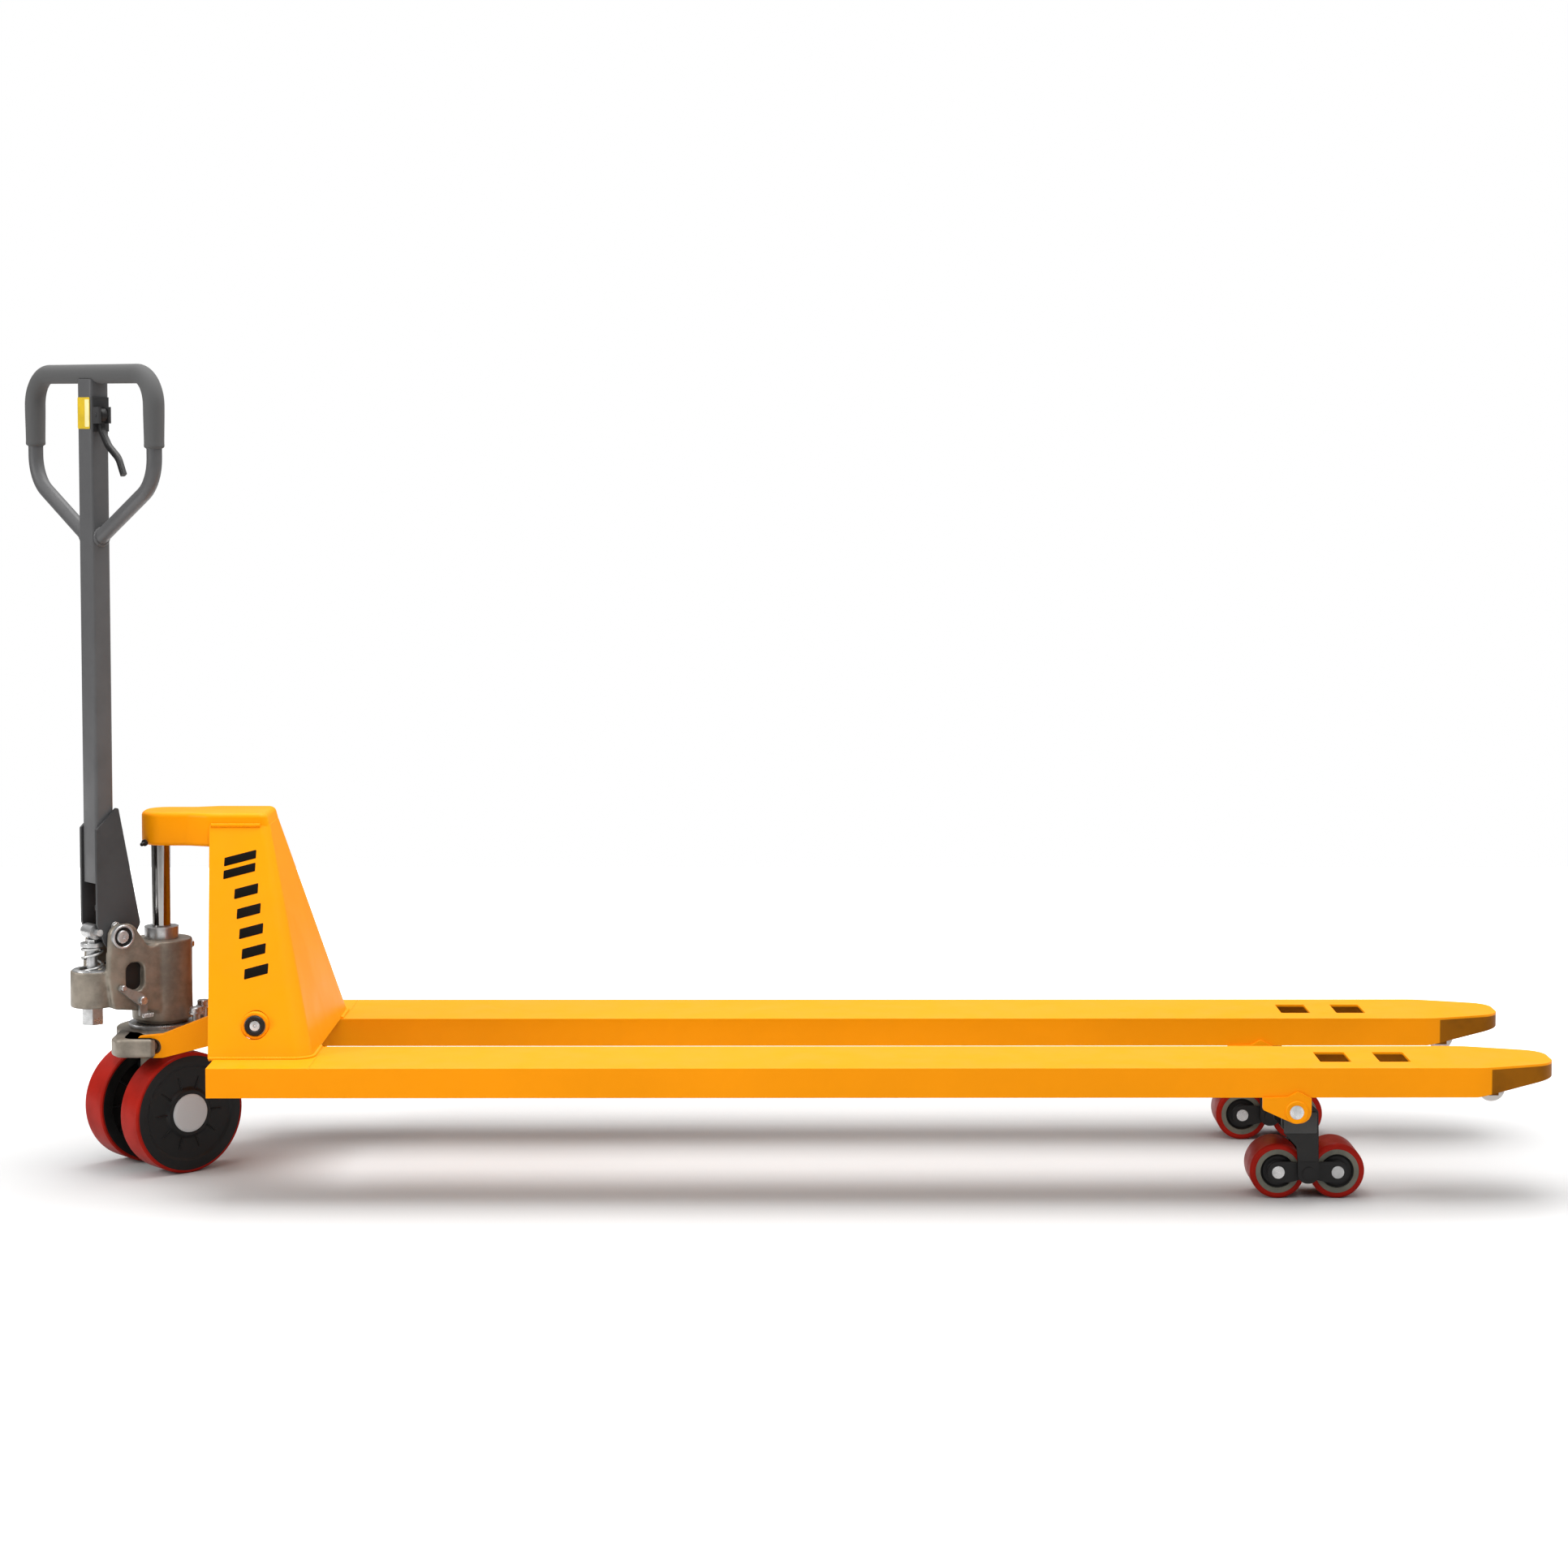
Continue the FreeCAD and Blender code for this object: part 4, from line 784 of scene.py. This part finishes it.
class JACK_OT_fixings(bpy.types.Operator):
    """Sets the bolts, shaft rings, link wings, pivot seals, dark plates of painted shade in the cast recesses, welds,
    plain marks, wheel-frame cheeks with painted light on the upper ones, release pins and spring, stop bolts and grease
    nipple"""

    bl_idname = "jack.fixings"
    bl_label = "Fixings"

    def execute(self, context):
        skins = []
        for y in (-25.4, 25.4):
            skins += bolt([-92, y, 373], [0, math.copysign(1, y), 0], 5.0, 4.0)
        piece("base_bolts", skins, "bright_steel", "handle")
        for side, sign in SIDES:
            pan = np.array([(8.4, 0.0), (8.4, 1.6), (9.4, 2.6), (13.4, 2.6), (14.6, 1.4), (14.6, 0.0)]) * MM
            ring = revolved(pan, in_line([SHAFT_X, sign * SHAFT_END, SHAFT_Z]), (0, sign, 0), 64)
            piece("shaft_ring_" + side, [skin(ring, ring=True)], "black_enamel", "rocker")
            dome = np.array([(0, -4), (8.2, -4), (8.2, 0.6), (7.2, 1.6), (2.6, 1.9), (1.8, 0.6), (0, 0.5)]) * MM
            centre = revolved(dome, in_line([SHAFT_X, sign * SHAFT_END, SHAFT_Z]), (0, sign, 0), 64)
            piece("shaft_end_" + side, [skin(centre, ends=False)], "bright_steel", "rocker")
            plan = eased([(-58, 34), (-58, 96), (-46, 115), (4, 115), (11, 106), (-28, 105), (-32, 96), (-32, 34)],
                         [4, 14, 14, 6, 2, 3, 5, 4], 6)
            wing = slab(plan, 183.0, 211.5, 6.0, 6) * (1, sign, 1)
            piece("link_wing_" + side, [skin(in_line(wing))], "silver_casting",
                  "thrust_base")
            hub = turned([HANDLE_PIVOT_X, sign * EAR_OUT, HANDLE_PIVOT_Z])
            out = turned([0, sign, 0]) - STEER_AXIS
            boss = np.array([(14.4, -1), (14.4, 4.4), (15.0, 5.0), (17.0, 5.0), (17.8, 4.2), (18.2, -1)]) * MM
            piece("ear_boss_" + side, [skin(revolved(boss, hub, out, 64), ring=True)], "bright_steel",
                  "steering_unit")
            well = np.array([(9.3, -1), (9.3, 0.9), (9.7, 1.2), (14.4, 1.2), (14.6, 0.9), (14.6, -1)]) * MM
            piece("ear_seal_" + side, [skin(revolved(well, hub, out, 64), ring=True)], "black_enamel",
                  "steering_unit")
            # Painted shade: a thin dark plate on the casting's side stands for the shade in its recess.
            window = slab(eased([(-82, 275), (-52, 275), (-52, 318), (-82, 318)], 11, 7), 26.8, 28.4, 0.3)
            recess = np.stack([window[..., 0], sign * window[..., 2], window[..., 1]], -1)
            piece("recess_painted_shade_" + side, [skin(turned(recess))], "frame_black_and_recess_shade", "steering_unit")
            button = np.array([(0, 0), (9.4, 0), (9.4, 3.0), (8.4, 3.8), (3.0, 3.8), (2.2, 2.6), (0, 2.6)]) * MM
            piece("pivot_end_" + side, [skin(revolved(button, hub, out, 64), ends=False)], "bright_steel",
                  "steering_unit")

            foot = np.array([(104, 206), (253, 206), (253, 112)]) * (1, sign)
            bend = eased(foot, [0, 26, 0], 12, closed=False)
            seam = np.concatenate([bend, np.full((len(bend), 1), 200.4)], 1)
            top = np.array([(84, sign * 52.6, 520.0), (158, sign * 52.6, 520.0)])
            piece("hood_welds_" + side, [weld_bead(seam, (0, 0, 1.0)), weld_bead(top, (0, 0, 1.0))],
                  "yellow_enamel", "chassis")
            lean = (HOOD_HALF - NECK_HALF) / HOOD_RISE
            square = np.array([0, sign * 1.0, lean]) / math.hypot(1.0, lean)
            bars = []
            for x, z, wide, tall in [(131, 474, 46, 12), (131, 456, 46, 12)] + [
                    (143 + 5.5 * step, 428 - 27.5 * step, 34, 14) for step in range(5)]:
                outline = eased([(x - wide / 2, z - tall / 2 - wide / 8), (x + wide / 2, z - tall / 2 + wide / 8),
                                 (x + wide / 2, z + tall / 2 + wide / 8), (x - wide / 2, z + tall / 2 - wide / 8)],
                                1.0, 4)
                bar = slab(outline, 0.0, 0.35, 0.15)
                flat = np.stack([bar[..., 0], sign * (HOOD_HALF - lean * (bar[..., 1] - 200.0)), bar[..., 1]], -1)
                bars.append(skin(in_line(flat + square * bar[..., 2:])))
            piece("side_marks_" + side, bars, "mark_black", "chassis")
        for side, sign in SIDES:
            middle = sign * FORK_MIDDLE
            # Painted light: the upper cheek plates are a paler grey than the near-black lower ones, where light falls
            # on the frame's top.
            for part, corners, low, finish in (
                    ("lower", [(1653, 112), (1702, 112), (1703, 58), (1674, 58), (1671, 80), (1653, 99)], 49.6,
                     "frame_black_and_recess_shade"),
                    ("upper", [(1652, 130), (1700, 130), (1701, 99), (1653, 99)], 51.0, "frame_painted_light_grey")):
                plate = slab(eased(corners, 3, 5), low, low + 1.6, 0.6)
                for way in (1, -1):
                    face = np.stack([plate[..., 0], middle + way * plate[..., 2], plate[..., 1]], -1)
                    name = "frame_cheek_%s_%s_%s" % (part, side, "out" if way == sign else "in")
                    piece(name, [skin(in_line(face))], finish, "wheel_frame_" + side)
            collar = np.array([(10.1, -0.5), (10.1, 1.4), (11, 1.8), (15.4, 1.8), (16.4, 0.8), (16.6, -0.5)]) * MM
            rings = [skin(revolved(collar, in_line([LOAD_X, middle + way * 86.5, LOAD_Z]), (0, way, 0), 64), ring=True)
                     for way in (1, -1)]
            piece("ear_ring_" + side, rings, "yellow_enamel", "chassis")
        rim = np.array([(19, 0.307), (19, 0.3094), (20, 0.3104), (27, 0.3104), (29, 0.3094), (29.6, 0.307)]) * (MM, 1)
        piece("well_rim", [skin(revolved(rim, turned([PLUNGER_X, 0, 0]), (0, 0, 1), 72), ring=True)], "bright_steel",
              "steering_unit")
        knob = np.array([(0, 0), (5.2, 0), (5.2, 5.5), (4.4, 6.4), (2.0, 6.6), (0, 6.6)]) * MM
        pin_heads = [skin(revolved(knob * scale, turned(spot), turned([0, -1, 0]) - STEER_AXIS, 40), ends=False)
                     for spot, scale in (([-60, -45, 262], (1.2, 1.0)), ([-92, -45, 284], (0.8, 0.8)))]
        piece("release_pins", pin_heads, "bright_steel", "release_lever")
        t = np.linspace(0, 1, 300)
        wind = 2 * math.pi * 7 * t
        hook = turned(np.stack([-64 + 34 * t * 0.5, -53 + 2.6 * np.sin(wind) * 0.6, 240 + 2.6 * np.cos(wind)], -1))
        piece("release_spring", [skin(carried(circle(0.0008, 10), hook, (0.0, 0.0, 1.0)))], "spring_steel",
              "steering_unit", crease=60)
        shank = np.array([(0, 211), (6, 211), (6, 234), (11, 234), (11, 236.5), (9.5, 237), (9.5, 243), (8.4, 244.4),
                          (0, 244.6)]) * MM
        stops = [skin(revolved(shank, in_line([56, y, 0]), (0, 0, 1), 48), ends=False) for y in (-30, 30)]
        piece("stop_bolts", stops, "bright_steel", "thrust_base")
        nipple = np.array([(0, 0), (5, 0), (5, 3), (3, 3.6), (2.4, 7), (3, 8.2), (2.6, 9.6), (0, 10.2)]) * MM
        cup = revolved(nipple, in_line([-16, -35, 492]), (-0.45, -0.85, -0.25), 32)
        piece("grease_nipple", [skin(cup, ends=False)], "black_enamel", "chassis")
        return {"FINISHED"}


class JACK_PT_pieces(bpy.types.Panel):
    """Lists the sizes, the colours and the operators that build the pallet jack"""

    bl_idname = "JACK_PT_pieces"
    bl_label = "Pallet jack"
    bl_space_type = "VIEW_3D"
    bl_region_type = "UI"
    bl_category = "Pallet jack"

    def draw(self, context):
        for group in (context.scene.jack_sizes, context.scene.jack_colours):
            for name in group.__annotations__:
                self.layout.prop(group, name)
        for operator in OPERATORS:
            self.layout.operator(operator.bl_idname)


OPERATORS = (JACK_OT_stage, JACK_OT_carried_parts, JACK_OT_handle, JACK_OT_head, JACK_OT_steering_wheels,
             JACK_OT_load_rollers, JACK_OT_pump_spring, JACK_OT_fixings)
CLASSES = (JackSizes, JackColours, *OPERATORS, JACK_PT_pieces)


def register():
    for item in CLASSES:
        bpy.utils.register_class(item)
    bpy.types.Scene.jack_sizes = bpy.props.PointerProperty(type=JackSizes)
    bpy.types.Scene.jack_colours = bpy.props.PointerProperty(type=JackColours)


def unregister():
    del bpy.types.Scene.jack_sizes
    del bpy.types.Scene.jack_colours
    for item in reversed(CLASSES):
        bpy.utils.unregister_class(item)


def main():
    """Registers the add-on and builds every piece."""
    register()
    make_effects()
    for operator in OPERATORS:
        family, name = operator.bl_idname.split(".")
        getattr(getattr(bpy.ops, family), name)()


if __name__ == "__main__":
    main()
